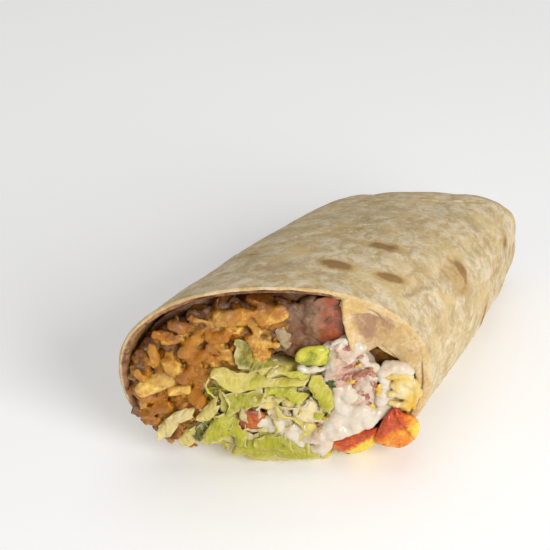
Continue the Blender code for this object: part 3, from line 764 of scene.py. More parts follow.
# A cut dice: a rounded, uneven block
def diceShape(wide, deep, tall, seed, cuts=4, soft=0.55):
    bm = bmesh.new()
    bmesh.ops.create_cube(bm, size=2)
    bmesh.ops.subdivide_edges(bm, edges=bm.edges, cuts=cuts, use_grid_fill=True)
    for vert in bm.verts:
        p = vert.co
        ball = p.normalized() * 1.25
        q = p.lerp(ball, soft * 0.6)
        q *= 1 + 0.22 * noise.noise(p * 0.9 + Vector((seed * 3.1, 0, 0)))
        vert.co = (q.x * wide / 2, q.y * deep / 2, q.z * tall / 2)
    bm.verts.index_update()
    points = [tuple(v.co) for v in bm.verts]
    faces = [[v.index for v in f.verts] for f in bm.faces]
    bm.free()
    return points, faces


# Brings many placed shapes together: each is (points, faces, basis, middle, tone)
def placedPieces(name, placed, finish):
    points, faces, tones, start = [], [], [], 0
    for shapePoints, shapeFaces, basis, middle, tone in placed:
        moved = np.asarray(shapePoints) @ np.asarray(basis) + middle
        points.append(moved)
        faces += [[start + i for i in face] for face in shapeFaces]
        tones.append(np.full(len(moved), tone))
        start += len(moved)
    return addPiece(name, np.concatenate(points), faces, finish, {"tone": np.concatenate(tones)})


def joined(name, pieces):
    bm = bmesh.new()
    for piece in pieces:
        bm.from_mesh(piece.data)
    for face in bm.faces:
        face.material_index = 0
    mesh = bpy.data.meshes.new(name)
    bm.to_mesh(mesh)
    bm.free()
    mesh.materials.append(pieces[-1].data.materials[0])
    mesh.shade_smooth()
    obj = bpy.data.objects.new(name, mesh)
    bpy.context.scene.collection.objects.link(obj)
    for piece in pieces:
        bpy.data.objects.remove(piece)
    return obj


# Takes out each separate shape whose middle isn't well inside the sheet
def dropOutside(obj, inset):
    x, z = sectionPoint(np.linspace(0, math.tau, 120, endpoint=False), inset)
    wall = carry(x, z, 0 * x)[:, (0, 2)]
    bm = bmesh.new()
    bm.from_mesh(obj.data)
    seen, strays = set(), []
    for start in bm.verts:
        if start in seen:
            continue
        island, edge = [start], [start]
        seen.add(start)
        while edge:
            for link in edge.pop().link_edges:
                for vert in link.verts:
                    if vert not in seen:
                        seen.add(vert)
                        island.append(vert)
                        edge.append(vert)
        middle = np.mean([vert.co for vert in island], axis=0) / mm - shift
        if outlineDistance(middle[:1], middle[2:], wall)[0] > 0:
            strays += island
    bmesh.ops.delete(bm, geom=strays, context="VERTS")
    bm.to_mesh(obj.data)
    bm.free()


# Runs touching shapes together, each new point with the tone of the old point nearest to it
def melded(obj, voxel, rounding):
    finish = obj.data.materials[0]
    tones = np.empty(len(obj.data.vertices), np.float32)
    obj.data.attributes["tone"].data.foreach_get("value", tones)
    tree = kdtree.KDTree(len(tones))
    for index, vert in enumerate(obj.data.vertices):
        tree.insert(vert.co, index)
    tree.balance()
    remesh = obj.modifiers.new("even", "REMESH")
    remesh.mode = "VOXEL"
    remesh.voxel_size = voxel * mm
    soften = obj.modifiers.new("soften", "SMOOTH")
    soften.factor, soften.iterations = 0.5, rounding
    bake(obj)
    store(obj, "tone", [tones[tree.find(vert.co)[1]] for vert in obj.data.vertices])
    obj.data.materials.clear()
    obj.data.materials.append(finish)
    obj.data.shade_smooth()


def roughen(obj, amount, size, seed=1, octaves=3):
    points = pointsOf(obj)
    points = points + normalsOf(obj) * (amount * rumple(points, size, seed, octaves))[:, None]
    points[:, 2] = np.maximum(points[:, 2], 0.25)
    movePoints(obj, points)


# Sinks round pits, each (x, z, radius, depth), into the face of a layer
def pitFace(obj, pits):
    points = pointsOf(obj)
    near = 1 - easeStep(behindCut(points) / 7)
    for x, z, radius, deep in pits:
        away = np.hypot(points[:, 0] - x, points[:, 2] - z) / radius
        points[:, 1] += deep * near * np.exp(-(away**4))
    movePoints(obj, points)


# A leaf shred: a thin strip, arched and curled along x, thickest in the middle
def shredShape(length, width, curl, seed, around=6, along=9):
    t = np.linspace(-1, 1, along)[:, None]
    a = (np.arange(around) * math.tau / around)[None, :]
    wide = width / 2 * (1 - np.abs(t) ** 2.6 * 0.75) * (1 + 0.22 * np.sin(3.1 * t + seed))
    across = wide * np.cos(a) + 0.5 * np.sin(2.3 * t + 1.7 * seed)
    up = 0.17 * np.sin(a) + curl * (1 - t**2) + 0.35 * np.cos(a) ** 2 * np.sin(4.2 * t + seed)
    grid = np.stack([t * length / 2 + 0 * a, across, up], -1)
    points = np.concatenate([grid.reshape(-1, 3), grid[:1].mean(1), grid[-1:].mean(1)])
    faces = []
    for i in range(along - 1):
        for j in range(around):
            k = (j + 1) % around
            faces.append([i * around + j, i * around + k, (i + 1) * around + k, (i + 1) * around + j])
    for j in range(around):
        k = (j + 1) % around
        faces.append([along * around, k, j])
        faces.append([along * around + 1, (along - 1) * around + j, (along - 1) * around + k])
    return points, faces


# A cut piece with the given outline at the face: a rounded front, and sides that run back into the roll
def cutPiece(name, spec, finish, seed=1, marks=None, relief=None):
    edge = closedPath(spec["outline"])
    base, deep, high = spec["out"], spec.get("deep", 5.0), spec.get("high", 1.2)
    rounding, rough, size = spec.get("rounding", 1.5), spec.get("rough", 0.35), spec.get("size", 2.6)
    lean = spec.get("lean", (0.0, 0.0))
    centre = edge.mean(0)
    rings = np.sin(np.linspace(0, math.pi / 2, 18))[1:, None, None]
    flat = centre + (edge - centre) * rings
    toEdge = (1 - rings[..., 0]) * np.hypot(*(edge - centre).T)
    lift = high * np.sqrt(1 - (1 - np.clip(toEdge / rounding, 0, 1)) ** 2)
    spot = np.stack([flat[..., 0], 0 * flat[..., 0], flat[..., 1]], -1)
    out = base - high + lift + rough * rumple(spot, size, seed, 3)
    out = out + lean[0] * (flat[..., 0] - centre[0]) + lean[1] * (flat[..., 1] - centre[1])
    if relief:
        out = out + relief(flat[..., 0], flat[..., 1])
    front = standing(flat[..., 0], flat[..., 1], base, out)
    sides = []
    for share in (0.15, 0.35, 0.6, 0.85, 1.0):
        pull = 1 - 0.1 * share - 0.15 * share**4
        rim = centre + (edge - centre) * pull
        ripple = rough * 0.6 * rumple(np.stack([rim[:, 0], 0 * rim[:, 0] + share * deep, rim[:, 1]], -1), size, seed + 3, 2)
        sides.append(standing(rim[:, 0] + ripple, rim[:, 1] + ripple, base - 0.85 * share * deep, out[-1] - share * deep))
    grid = np.concatenate([front, np.array(sides)])
    high_, wide = grid.shape[:2]
    middle = standing(*centre, base, float(out[0].mean()))
    back = standing(*centre, base - 0.85 * deep, float(out[-1].mean()) - deep - 0.4)
    points = np.concatenate([grid.reshape(-1, 3), [middle, back]])
    points[:, 2] = np.maximum(points[:, 2], 0.25)
    faces = []
    for i in range(high_ - 1):
        for j in range(wide):
            k = (j + 1) % wide
            faces.append([i * wide + j, i * wide + k, (i + 1) * wide + k, (i + 1) * wide + j])
    for j in range(wide):
        k = (j + 1) % wide
        faces.append([high_ * wide, k, j])
        faces.append([high_ * wide + 1, (high_ - 1) * wide + j, (high_ - 1) * wide + k])
    obj = addPiece(name, points, faces, finish)
    facingOut(obj)
    sx = np.concatenate([flat[..., 0].reshape(-1)] + [edge[:, 0]] * 5 + [[centre[0], centre[0]]])
    sz = np.concatenate([flat[..., 1].reshape(-1)] + [edge[:, 1]] * 5 + [[centre[1], centre[1]]])
    for key, rule in (marks or {}).items():
        store(obj, key, rule(sx, sz))
    return obj


# Soft lumps run together: each is (x, z, out, radius)
def softLumps(name, lumps, voxel, finish, rough=0.35, size=2.2, seed=1, rounding=4):
    bm = bmesh.new()
    for x, z, out, radius in lumps:
        middle = Vector((standing(x, z, out, out) + shift) * mm)
        made = bmesh.ops.create_icosphere(bm, subdivisions=2, radius=radius * mm)
        for vert in made["verts"]:
            vert.co += middle
    mesh = bpy.data.meshes.new(name)
    bm.to_mesh(mesh)
    bm.free()
    obj = bpy.data.objects.new(name, mesh)
    bpy.context.scene.collection.objects.link(obj)
    remesh = obj.modifiers.new("even", "REMESH")
    remesh.mode = "VOXEL"
    remesh.voxel_size = voxel * mm
    soften = obj.modifiers.new("soften", "SMOOTH")
    soften.factor, soften.iterations = 0.5, rounding
    bake(obj)
    points = pointsOf(obj)
    points = points + normalsOf(obj) * (rough * rumple(points, size, seed, 3))[:, None]
    points[:, 2] = np.maximum(points[:, 2], 0.3)
    movePoints(obj, points)
    obj.data.materials.append(finish)
    obj.data.shade_smooth()
    return obj


# Points from start to stop with lumps on the way, for softLumps
def lumpLine(path, radius, step=0.8, seed=1, wander=0.3):
    rng = random.Random(seed)
    corners = np.array([p[:2] for p in path])
    length = np.hypot(*np.diff(corners, axis=0).T).sum()
    count = max(3, int(length / step))
    line = smoothPath(np.array(path, float), count)
    return [(x + rng.uniform(-wander, wander), z + rng.uniform(-wander, wander), out, radius * rng.uniform(0.8, 1.2))
            for x, z, out in line]


# Axes of the face at (x, z): across, up the face and out of it
def faceAxes(turn=0.0, tilt=0.0, roll_=0.0):
    o = onFace(0, 25, 0)
    across = onFace(1, 25, 0) - o
    up = onFace(0, 26, 0) - o
    across /= np.linalg.norm(across)
    out = np.cross(across, up)
    out /= np.linalg.norm(out)
    up = np.cross(out, across)
    c, s = math.cos(turn), math.sin(turn)
    first, second = c * across + s * up, c * up - s * across
    c, s = math.cos(tilt), math.sin(tilt)
    first, out = c * first + s * out, c * out - s * first
    c, s = math.cos(roll_), math.sin(roll_)
    second, out = c * second + s * out, c * out - s * second
    return np.stack([first, second, out])


# Moves the face of a layer in and out by noise, leaving what lies deep in the roll alone
def unevenFace(obj, size, high, seed, reach=7.0, octaves=3, along=True):
    points = pointsOf(obj)
    mask = 1 - easeStep(behindCut(points) / reach)
    amount = high * rumple(points, size, seed, octaves) * mask
    if along:
        points[:, 1] -= amount
    else:
        points += normalsOf(obj) * amount[:, None]
    points[:, 2] = np.maximum(points[:, 2], 0.4)
    movePoints(obj, points)


# A wet, mottled food finish of three colours
def plainFinish(name, low, middle, high, size=2.4, gloss=0.3, soft=0.3, bump=0.4, veil=None, deepened=None):
    f = Finish(name, Subsurface_Weight=soft, Subsurface_Scale=0.002, Specular_IOR_Level=0.35, Coat_Weight=0.15)
    broad, fine = f.noise(size, 4, 0.6, 0.7), f.noise(0.8, 3, 0.6, at=2.0)
    color = f.ramp(broad * 0.8 + fine * 0.2, (0.38, low), (0.50, middle), (0.63, high))
    if deepened:
        color = f.blend(f.attribute("deepened") * f.ramp(fine, (0.3, 0.7), (0.6, 1.0)), color, deepened)
    if veil:
        color = f.blend(f.ramp(f.noise(1.3, 4, 0.65, 0.7, at=14.0), (0.46, 0.0), (0.62, 0.85)), color, veil)
    return f.done(color, f.ramp(fine, (0.3, gloss - 0.08), (0.7, gloss + 0.12)), broad * 0.5 + fine * 0.3, bump, 0.4)


# ---- beans

beanLook = {"mash": (0.165, 0.078, 0.038), "skin": (0.11, 0.04, 0.016), "pale": (0.30, 0.185, 0.105), "oil": (0.17, 0.055, 0.018),
            # where the mash stands level with the cut: (x, z, how far it stands out)
            "front": ((1.0, 38.6, 0.1), (1.2, 42.4, 0.2), (0.6, 46.0, 0.2), (1.4, 49.0, 0.0), (4.4, 36.8, 0.0), (4.8, 40.6, 0.4), (4.4, 44.4, 0.5), (4.6, 48.2, 0.2),
                      (7.8, 38.2, 0.2), (8.0, 42.2, 0.4), (7.6, 46.0, 0.3), (8.4, 49.6, 0.0), (11.6, 37.8, 0.1), (11.6, 42.0, -0.2), (11.6, 46.6, -0.2), (13.4, 50.0, -0.2)),
            # where it shows between the rice and the sheet
            "border": ((-28.6, 26.4), (-28.4, 29.6), (-27.6, 32.8), (-26.4, 35.8), (-24.8, 38.4), (-23.0, 40.6), (-20.8, 42.8), (-18.4, 44.9),
                       (-15.6, 46.5), (-12.8, 47.9), (-10.0, 49.0), (-7.0, 49.8), (-4.0, 50.2)),
            "proud": ((0, 50.5), (8, 50.5), (14.5, 50), (15, 40), (12, 37), (6, 34), (2, 36), (1, 44))}


def beansFinish():
    f = Finish("refriedBeans", Subsurface_Weight=0.12, Subsurface_Scale=0.0015, Specular_IOR_Level=0.35, Coat_Weight=0.15)
    broad, fine = f.noise(3.4, 5, 0.68, 0.8), f.noise(0.9, 4, 0.65, at=4.4)
    color = f.blend(f.ramp(broad * 0.6 + fine * 0.4, (0.42, 0.0), (0.60, 1.0)), beanLook["mash"], beanLook["pale"])
    color = f.blend(f.ramp(fine, (0.54, 0.0), (0.68, 0.8)), color, beanLook["skin"])
    color = f.blend(f.ramp(f.noise(6, 3, at=8.8), (0.46, 0.0), (0.62, 0.75)), color, beanLook["oil"])
    rough = f.ramp(fine, (0.3, 0.32), (0.7, 0.6))
    return f.done(color, rough, broad * 0.6 + fine * 0.5, 0.8, 0.8)


def makeBeans():
    obj = layerCopy("beanMash", "refried_beans", beansFinish(), 0.75, 3)
    points = pointsOf(obj)
    near = 1 - easeStep(behindCut(points) / 7)
    points[:, 1] -= 1.3 * near * easeStep(0.5 - outlineDistance(points[:, 0], points[:, 2], beanLook["proud"]) / 3)
    movePoints(obj, points)
    unevenFace(obj, 5.0, 2.2, 11, 8)
    unevenFace(obj, 1.8, 0.8, 12, 8)
    pitFace(obj, ((3.4, 32.0, 2.2, 5.0), (-1.0, 50.2, 2.0, 2.5), (-8.0, 50.5, 2.0, 2.5)))
    settle(obj, "refried_beans", "refried_beans")
    lumps = [(x, z, -1.9 + out, 2.5) for x, z, out in beanLook["front"]] + [(x, z, -0.9, 1.9) for x, z in beanLook["border"]]
    front = softLumps("beanFront", lumps, 0.5, beansFinish(), 0.8, 2.6, 14, 8)
    settle(front, "refried_beans")


makeBeans()
print("beans done")

# ---- rice

riceLook = {
    "brown": (0.18, 0.068, 0.010), "orange": (0.40, 0.145, 0.007), "tan": (0.49, 0.22, 0.024), "pale": (0.86, 0.59, 0.15),
    # the dark core colour on the next line also serves as painted shade for deep grains and for the hollow
    "core": (0.09, 0.026, 0.003), "mauve": (0.32, 0.145, 0.06), "spacing": 2.85,
    "band": ((-31.2, 16), (-31.4, 21), (-30.6, 28), (-28.2, 34.8), (-24.4, 40.4), (-18.8, 45.3), (-12, 48.8), (-5, 51), (-5, 48.4),
             (-11, 46.4), (-16.5, 42.8), (-21.8, 37.8), (-25.8, 32), (-27.8, 26), (-28, 17)),
    "pits": ((-26.2, 31.0, 1.8, 4.0), (-3.2, 43.5, 1.6, 3.0), (-9.6, 38.6, 1.6, 3.5), (-17.4, 31.5, 1.6, 3.0), (-25.0, 15.4, 2.0, 3.5),
             (-15.0, 26.5, 2.2, 4.0), (-18.6, 42.2, 1.4, 2.5), (-29.2, 27.0, 1.2, 2.0)),
    # the grains that stand out: both ends at the cut, width, tone
    "grains": (
        ((-22.7, 39.2), (-18.8, 39.3), 1.8, 0.8), ((-19.0, 35.7), (-13.4, 42.4), 2.7, 0.6), ((-24.9, 39.2), (-24.1, 31.0), 2.1, 0.6),
        ((-21.7, 34.0), (-21.0, 30.0), 3.2, 0.85), ((-28.2, 24.9), (-21.4, 28.3), 3.9, 1.0), ((-22.0, 24.3), (-18.0, 24.2), 2.5, 0.95),
        ((-26.8, 17.3), (-22.4, 19.4), 2.5, 0.35), ((-17.2, 34.3), (-13.6, 35.9), 2.9, 0.3), ((-13.7, 33.3), (-11.0, 33.7), 2.1, 0.6),
        ((-13.1, 41.1), (-8.4, 41.4), 2.9, 0.4), ((-15.3, 46.2), (-11.8, 44.9), 1.4, 0.8), ((-10.5, 46.4), (-5.2, 46.9), 4.4, 0.7),
        ((-5.2, 48.3), (-1.1, 47.8), 2.1, 0.6), ((-2.3, 45.8), (3.3, 47.9), 3.2, 0.75), ((-3.8, 45.1), (-2.8, 40.8), 2.1, 0.7),
        ((-5.2, 40.0), (-1.1, 33.9), 2.9, 0.75), ((-10.0, 36.7), (-8.1, 32.3), 2.1, 0.9), ((-20.6, 44.5), (-17.7, 43.2), 2.7, 0.2),
        ((-24.3, 41.2), (-20.5, 41.0), 2.4, 0.15), ((-16.6, 46.3), (-15.1, 44.8), 2.0, 0.2), ((-28.3, 30.3), (-26.8, 28.0), 1.8, 0.6),
        ((-19.3, 28.2), (-16.5, 29.9), 2.5, 0.2), ((-18.1, 21.1), (-15.4, 21.0), 3.2, 0.4), ((-28.3, 22.3), (-25.8, 21.3), 2.1, 0.4),
        ((-29.2, 25.5), (-28.2, 21.8), 2.1, 0.55), ((-28.4, 15.8), (-25.8, 15.0), 1.8, 0.2), ((-13.0, 37.6), (-11.2, 38.6), 2.3, 0.35)),
}


def riceFinish(name, core):
    f = Finish(name, Subsurface_Weight=0.5, Subsurface_Scale=0.0025, Specular_IOR_Level=0.25, Coat_Weight=0.12)
    f.shader.inputs["Subsurface Radius"].default_value = (1.0, 0.5, 0.2)
    broad, fine = f.noise(3.2, 3, 0.55, 0.4), f.noise(0.8, 3, 0.6, at=6.0)
    if core:
        color = f.ramp(broad * 0.6 + f.noise(1.4, 4, 0.6, 0.5, at=6.0) * 0.4, (0.36, riceLook["core"]), (0.44, riceLook["brown"]), (0.54, riceLook["orange"]), (0.66, riceLook["tan"]))
    else:
        value = f.attribute("tone") * 0.8 + (broad - 0.5) * 0.8 + (f.noise(9, 2, at=2.0) - 0.5) * 0.5 + 0.04
        color = f.ramp(value, (0.0, riceLook["brown"]), (0.26, riceLook["orange"]), (0.58, riceLook["tan"]), (0.92, riceLook["pale"]))
        color = f.blend(f.ramp(f.noise(2.2, 4, 0.6, 0.5, at=6.0), (0.50, 0.0), (0.66, 0.7)), color, riceLook["orange"])
        color = f.blend(f.ramp(f.noise(1.3, 4, 0.6, 0.5, at=16.0), (0.60, 0.0), (0.74, 0.5)), color, riceLook["brown"])
        color = f.blend(f.ramp(f.noise(5, 4, 0.6, 0.6, at=26.0), (0.50, 0.0), (0.64, 0.55)), color, riceLook["mauve"])
        # painted shade: grains lying deeper behind the cut are darkened towards the near-black core colour
        color = f.blend(f.attribute("depth") * 0.92, color, riceLook["core"])
    return f.done(color, f.ramp(fine, (0.3, 0.26), (0.7, 0.48)), broad * 0.6 + fine * 0.5, 0.6, 0.5)


def makeRice():
    grainFinish = riceFinish("riceGrain", False)
    core = layerCopy("riceCore", "rice", riceFinish("riceCore", True), 0.8, 4)
    points = pointsOf(core)
    points[:, 1] += 0.3 * (1 - easeStep(behindCut(points) / 6))
    movePoints(core, points)
    unevenFace(core, 3.6, 2.4, 21)
    unevenFace(core, 1.5, 1.3, 22)
    pitFace(core, riceLook["pits"])
    settle(core, "rice", "rice")
    shapes = [grainShape(9.0, 2.6, 0.9, 3.0, 1), grainShape(8.0, 2.9, -0.7, 3.4, 2), grainShape(6.4, 3.2, 0.4, 5, 3),
              grainShape(9.8, 2.2, 1.4, 2.8, 4), grainShape(4.8, 2.8, 0.2, 5, 5), grainShape(7.6, 3.4, 0.7, 4, 6),
              grainShape(3.4, 2.1, 0.0, 5, 7), diceShape(8.4, 3.5, 1.8, 3, 3, 0.25), diceShape(6.2, 4.5, 1.9, 4, 3, 0.25),
              diceShape(7.8, 2.8, 2.1, 5, 3, 0.25), diceShape(3.9, 2.9, 1.8, 6, 3, 0.25), diceShape(9.6, 3.0, 1.6, 7, 3, 0.25),
              grainShape(8.4, 2.1, -1.1, 3.4, 8)]
    stock = stockOf("grains", shapes)
    spec = layers["rice"]
    pieces = []
    for index, (sink, margin, tilt) in enumerate(((2.4, 0.4, 0.5), (1.4, 0.7, 0.6), (0.4, 1.2, 0.5))):
        patch = facePatch("patch", spec["outline"], spec["stands"], margin)
        pieces.append(strew(f"rice{index}", patch, stock, grainFinish, riceLook["spacing"] + 0.25 * index, 0.75, 1.08, tilt, sink, 0.8, 3 + index))
    crumbs = stockOf("crumbs", [grainShape(3.6, 1.9, 0.3, 5, 11), grainShape(4.4, 1.7, -0.4, 4, 12), diceShape(3.4, 2.2, 1.5, 13, 2, 0.3),
                                grainShape(2.6, 1.6, 0.1, 6, 14)])
    for index, sink in enumerate((1.6, 0.7)):
        patch = facePatch("patch", riceLook["band"], spec["stands"], 0.2, 0.6)
        pieces.append(strew(f"band{index}", patch, crumbs, grainFinish, 2.3, 0.8, 1.15, 0.5, sink, 0.8, 9 + index))
    rng = random.Random(7)
    placed = []
    for (ax, az), (bx, bz), width, tone in riceLook["grains"]:
        width *= 1.15
        length = math.hypot(bx - ax, bz - az) + width * 0.6
        points_, faces = grainShape(length, width, rng.uniform(-0.4, 0.5), rng.choice((4.5, 7, 8)), rng.uniform(0, 9), 12, 13)
        basis = faceAxes(math.atan2(bz - az, bx - ax), rng.uniform(-0.25, 0.25), rng.uniform(-0.6, 0.6))
        placed.append((points_, faces, basis, standing((ax + bx) / 2, (az + bz) / 2, spec["stands"] + 0.9, spec["stands"] + 0.6 + rng.uniform(0, 0.9)), tone))
    # most of them stick together, and the palest lie loose on top
    pieces.append(placedPieces("heroGrains", [spot for spot in placed if spot[4] < 0.95], grainFinish))
    bed = joined("riceBed", pieces)
    dropOutside(bed, 2.6)
    melded(bed, 0.36, 2)
    roughen(bed, 0.22, 0.8, 24)
    roughen(bed, 0.3, 2.4, 25)
    loose = placedPieces("looseGrains", [spot for spot in placed if spot[4] >= 0.95], grainFinish)
    roughen(loose, 0.2, 2.4, 26)
    obj = joined("riceGrains", [bed, loose])
    # the depth behind the cut is stored for the grain finish, which paints it as shade
    store(obj, "depth", easeStep((behindCut(pointsOf(obj)) + 1.5) / 2.8))
    return settle(obj, "rice")


makeRice()
print("rice done")

# ---- lettuce

leafLook = {
    "white": (0.70, 0.57, 0.23), "yellow": (0.62, 0.52, 0.085), "green": (0.34, 0.32, 0.015), "lime": (0.45, 0.46, 0.010),
    "olive": (0.24, 0.20, 0.02), "cream": (0.78, 0.65, 0.40), "dark": (0.09, 0.11, 0.01), "rust": (0.58, 0.33, 0.08), "onion": (0.38, 0.28, 0.15),
    # each leaf: two edges at the cut as (x, z), how far each stands out, bulge, ruffle, greenness, richness
    "leaves": {
        "paleCurl": (((-25.4, 12.2), (-23.2, 15.2), (-20.7, 17.1), (-18.0, 17.6)), ((-24.9, 9.0), (-22.6, 9.6), (-20.9, 13.3), (-17.4, 15.4)), 3.0, 3.9, 0.8, 0.3, -0.1, 0.0),
        "thinEdge": (((-13.5, 28.0), (-14.6, 26.0), (-14.4, 24.1), (-12.7, 21.0)), ((-13.2, 28.0), (-13.9, 26.0), (-13.6, 24.1), (-12.3, 21.2)), 3.6, 4.4, 0.0, 0.1, 0.15, 0.5),
        "topLeaf": (((-13.6, 29.4), (-10.5, 29.8), (-7.6, 28.8), (-4.6, 27.8), (-1.6, 27.3), (0.8, 26.8), (3.6, 26.8), (7.2, 27.2)), ((-12.3, 27.6), (-9.8, 24.2), (-6.8, 23.4), (-4.7, 24.3), (-1.7, 24.7), (0.8, 25.0), (3.4, 25.0), (6.8, 25.2)), 2.6, 5.0, 0.9, 0.35, 0.18, 0.45),
        "stripedRibbon": (((-11.9, 24.5), (-9.9, 23.2), (-6.9, 23.0), (-4.4, 23.9), (-2.9, 23.4), (-1.6, 21.6)), ((-11.3, 15.5), (-9.5, 16.1), (-7.9, 16.8), (-6.4, 17.2), (-4.5, 18.4), (-1.8, 19.6)), 4.4, 3.9, -0.7, 0.3, 0.62, 0.75),
        "oliveLeaf": (((-7.8, 39.4), (-5.5, 38.8), (-3.5, 36.1), (-1.8, 33.5), (0.5, 32.8)), ((-7.6, 33.2), (-5.4, 30.9), (-3.4, 30.6), (-1.0, 31.2), (1.5, 32.0)), 1.4, 3.8, -0.6, 0.3, 0.9, 0.6),
        "smallLeaf": (((-16.7, 15.6), (-15.8, 17.4), (-14.2, 19.6), (-12.7, 21.2)), ((-16.0, 14.3), (-14.1, 14.7), (-12.5, 16.7), (-11.6, 19.1)), 3.6, 4.6, 0.8, 0.2, 0.12, 0.3),
        "darkPiece": (((-18.8, 9.5), (-16.6, 12.7), (-14.2, 15.0)), ((-16.6, 7.0), (-15.5, 9.4), (-13.9, 12.0)), 2.6, 2.9, 0.4, 0.2, 1.15, 0.9),
        "frontLeaf": (((-15.5, 10.6), (-13.5, 15.1), (-11.3, 16.2), (-9.2, 14.5), (-8.1, 11.8), (-6.8, 9.4)), ((-15.6, 6.9), (-13.1, 7.6), (-11.0, 8.4), (-8.9, 7.0), (-6.7, 5.3), (-5.6, 6.2)), 3.4, 5.0, 1.0, 0.6, 0.5, 0.85),
        "bottomLeaf": (((-9.2, 5.8), (-6.4, 8.2), (-3.2, 9.6), (-0.5, 9.0), (1.9, 7.2), (5.0, 4.9), (9.3, 2.6)), ((-9.2, 3.6), (-6.5, 2.4), (-2.8, 1.2), (0.9, 0.9), (4.9, 0.9), (7.1, 1.0), (9.5, 1.4)), 3.6, 4.2, 1.3, 0.22, 0.66, 1.0),
        "bottomFold": (((-5.5, 7.4), (-2.4, 8.6), (0.4, 8.2), (2.6, 6.4)), ((-4.2, 4.6), (-1.4, 4.6), (1.2, 4.4), (3.6, 3.6)), 4.6, 5.6, 0.8, 0.2, 0.7, 1.0),
        "stripedRib": (((8.0, 28.0), (9.8, 27.1), (11.3, 23.8), (12.4, 18.3)), ((7.2, 24.4), (8.6, 20.3), (10.0, 16.6), (11.4, 15.6)), 3.6, 3.9, 1.2, 0.1, 0.42, 0.45),
        "upperStrip": (((-1.0, 29.8), (2.0, 30.2), (5.0, 29.4), (7.4, 28.0)), ((-1.2, 27.9), (2.0, 28.4), (5.0, 27.9), (7.4, 27.0)), 2.6, 3.6, 0.6, 0.3, 0.3, 0.6),
        "lowLeft": (((-21.8, 8.4), (-19.8, 10.8), (-18.0, 11.8)), ((-20.6, 5.6), (-18.2, 6.6), (-16.6, 8.4)), 2.2, 3.0, 0.4, 0.3, 0.05, 0.1),
        "limeCurl": (((-2.0, 24.6), (1.0, 24.2), (4.0, 23.6), (6.6, 20.8)), ((-1.8, 22.2), (0.8, 21.8), (3.0, 20.8), (4.6, 18.4)), 3.6, 4.4, 0.8, 0.3, 0.4, 0.9),
    },
    "along": 40, "across": 15, "thickness": 0.36, "shredSpacing": 2.3,
    # thicker pale ribs: outline, how far each stands out, tone from creamy to green
    "ribs": (
        (((3.5, 13.4), (6.0, 12.4), (9.0, 12.6), (9.6, 15.0), (9.0, 17.5), (7.6, 19.6), (5.0, 19.2), (3.4, 17.0)), 3.8, 0.16),
        (((3.2, 11.4), (5.5, 12.2), (7.9, 11.4), (8.4, 8.4), (7.8, 5.8), (5.6, 4.8), (4.0, 6.6), (3.0, 9.0)), 3.8, 0.62),
        (((-3.6, 20.6), (-1.4, 21.6), (0.6, 20.6), (0.4, 18.4), (-1.6, 17.0), (-3.9, 17.8)), 3.8, 0.42),
        (((1.3, 20.4), (3.2, 20.8), (4.0, 18.6), (2.6, 16.6), (1.0, 17.6)), 3.8, 0.38),
        (((-2.2, 16.6), (0.4, 17.2), (2.4, 15.6), (1.2, 13.4), (-1.2, 13.8)), 3.4, 0.1),
        (((0.4, 13.0), (2.6, 13.6), (3.2, 11.0), (1.8, 9.0), (0.2, 10.4)), 3.2, 0.3),
        (((-3.0, 30.4), (0.4, 30.8), (1.4, 28.6), (-0.8, 27.2), (-3.4, 28.2)), 3.0, 0.6),
        (((8.4, 13.2), (10.4, 13.9), (12.2, 12.8), (11.0, 11.6), (9.0, 11.8)), 3.4, 0.3),
    ),
}


def leafFinish(name, core=False):
    look = leafLook
    f = Finish(name, Subsurface_Weight=0.45, Subsurface_Scale=0.003, Specular_IOR_Level=0.25, Coat_Weight=0.12)
    f.shader.inputs["Subsurface Radius"].default_value = (0.8, 1.0, 0.25)
    broad, fine = f.noise(4.0, 4, 0.6, 0.6), f.noise(0.9, 3, 0.6, at=3.3)
    if core:
        color = f.ramp(broad * 0.75 + f.noise(1.8, 4, 0.6, 0.7, at=8.0) * 0.25, (0.34, look["green"]), (0.44, look["yellow"]), (0.56, look["white"]), (0.70, look["cream"]))
        color = f.blend(f.ramp(fine, (0.54, 0.0), (0.72, 0.5)), color, look["lime"])
        return f.done(color, f.ramp(fine, (0.3, 0.3), (0.7, 0.55)), broad * 0.6 + fine * 0.3, 0.5, 0.6)
    green = f.attribute("green") + (broad - 0.5) * 0.95 + (fine - 0.5) * 0.25
    vein = f.attribute("vein")
    soft = f.ramp(green, (0.0, look["white"]), (0.26, look["yellow"]), (0.55, look["green"]), (0.9, look["olive"]))
    rich = f.ramp(green, (0.0, look["yellow"]), (0.34, look["lime"]), (0.8, look["green"]), (1.1, look["dark"]))
    color = f.blend(f.attribute("rich"), soft, rich)
    color = f.blend(vein * f.ramp(f.noise(3, 2, at=7.0), (0.4, 0.08), (0.65, 0.4)), color, look["white"])
    # leaf rims lightened towards white: partly the leaf's paler rim, partly painted light shining through the thin edge
    color = f.blend(f.attribute("edge") * 0.65, color, look["white"])
    color = f.blend(f.ramp(f.noise(1.2, 5, 0.7, 0.6, at=5.0), (0.52, 0.0), (0.72, 0.4)), color, look["white"])
    color = f.blend(f.ramp(f.noise(7, 3, 0.6, 0.6, at=15.0), (0.56, 0.0), (0.68, 0.4)), color, look["cream"])
    return f.done(color, f.ramp(fine, (0.3, 0.25), (0.7, 0.48)), vein * 0.2 + broad * 0.7 + fine * 0.45, 0.7, 0.6)


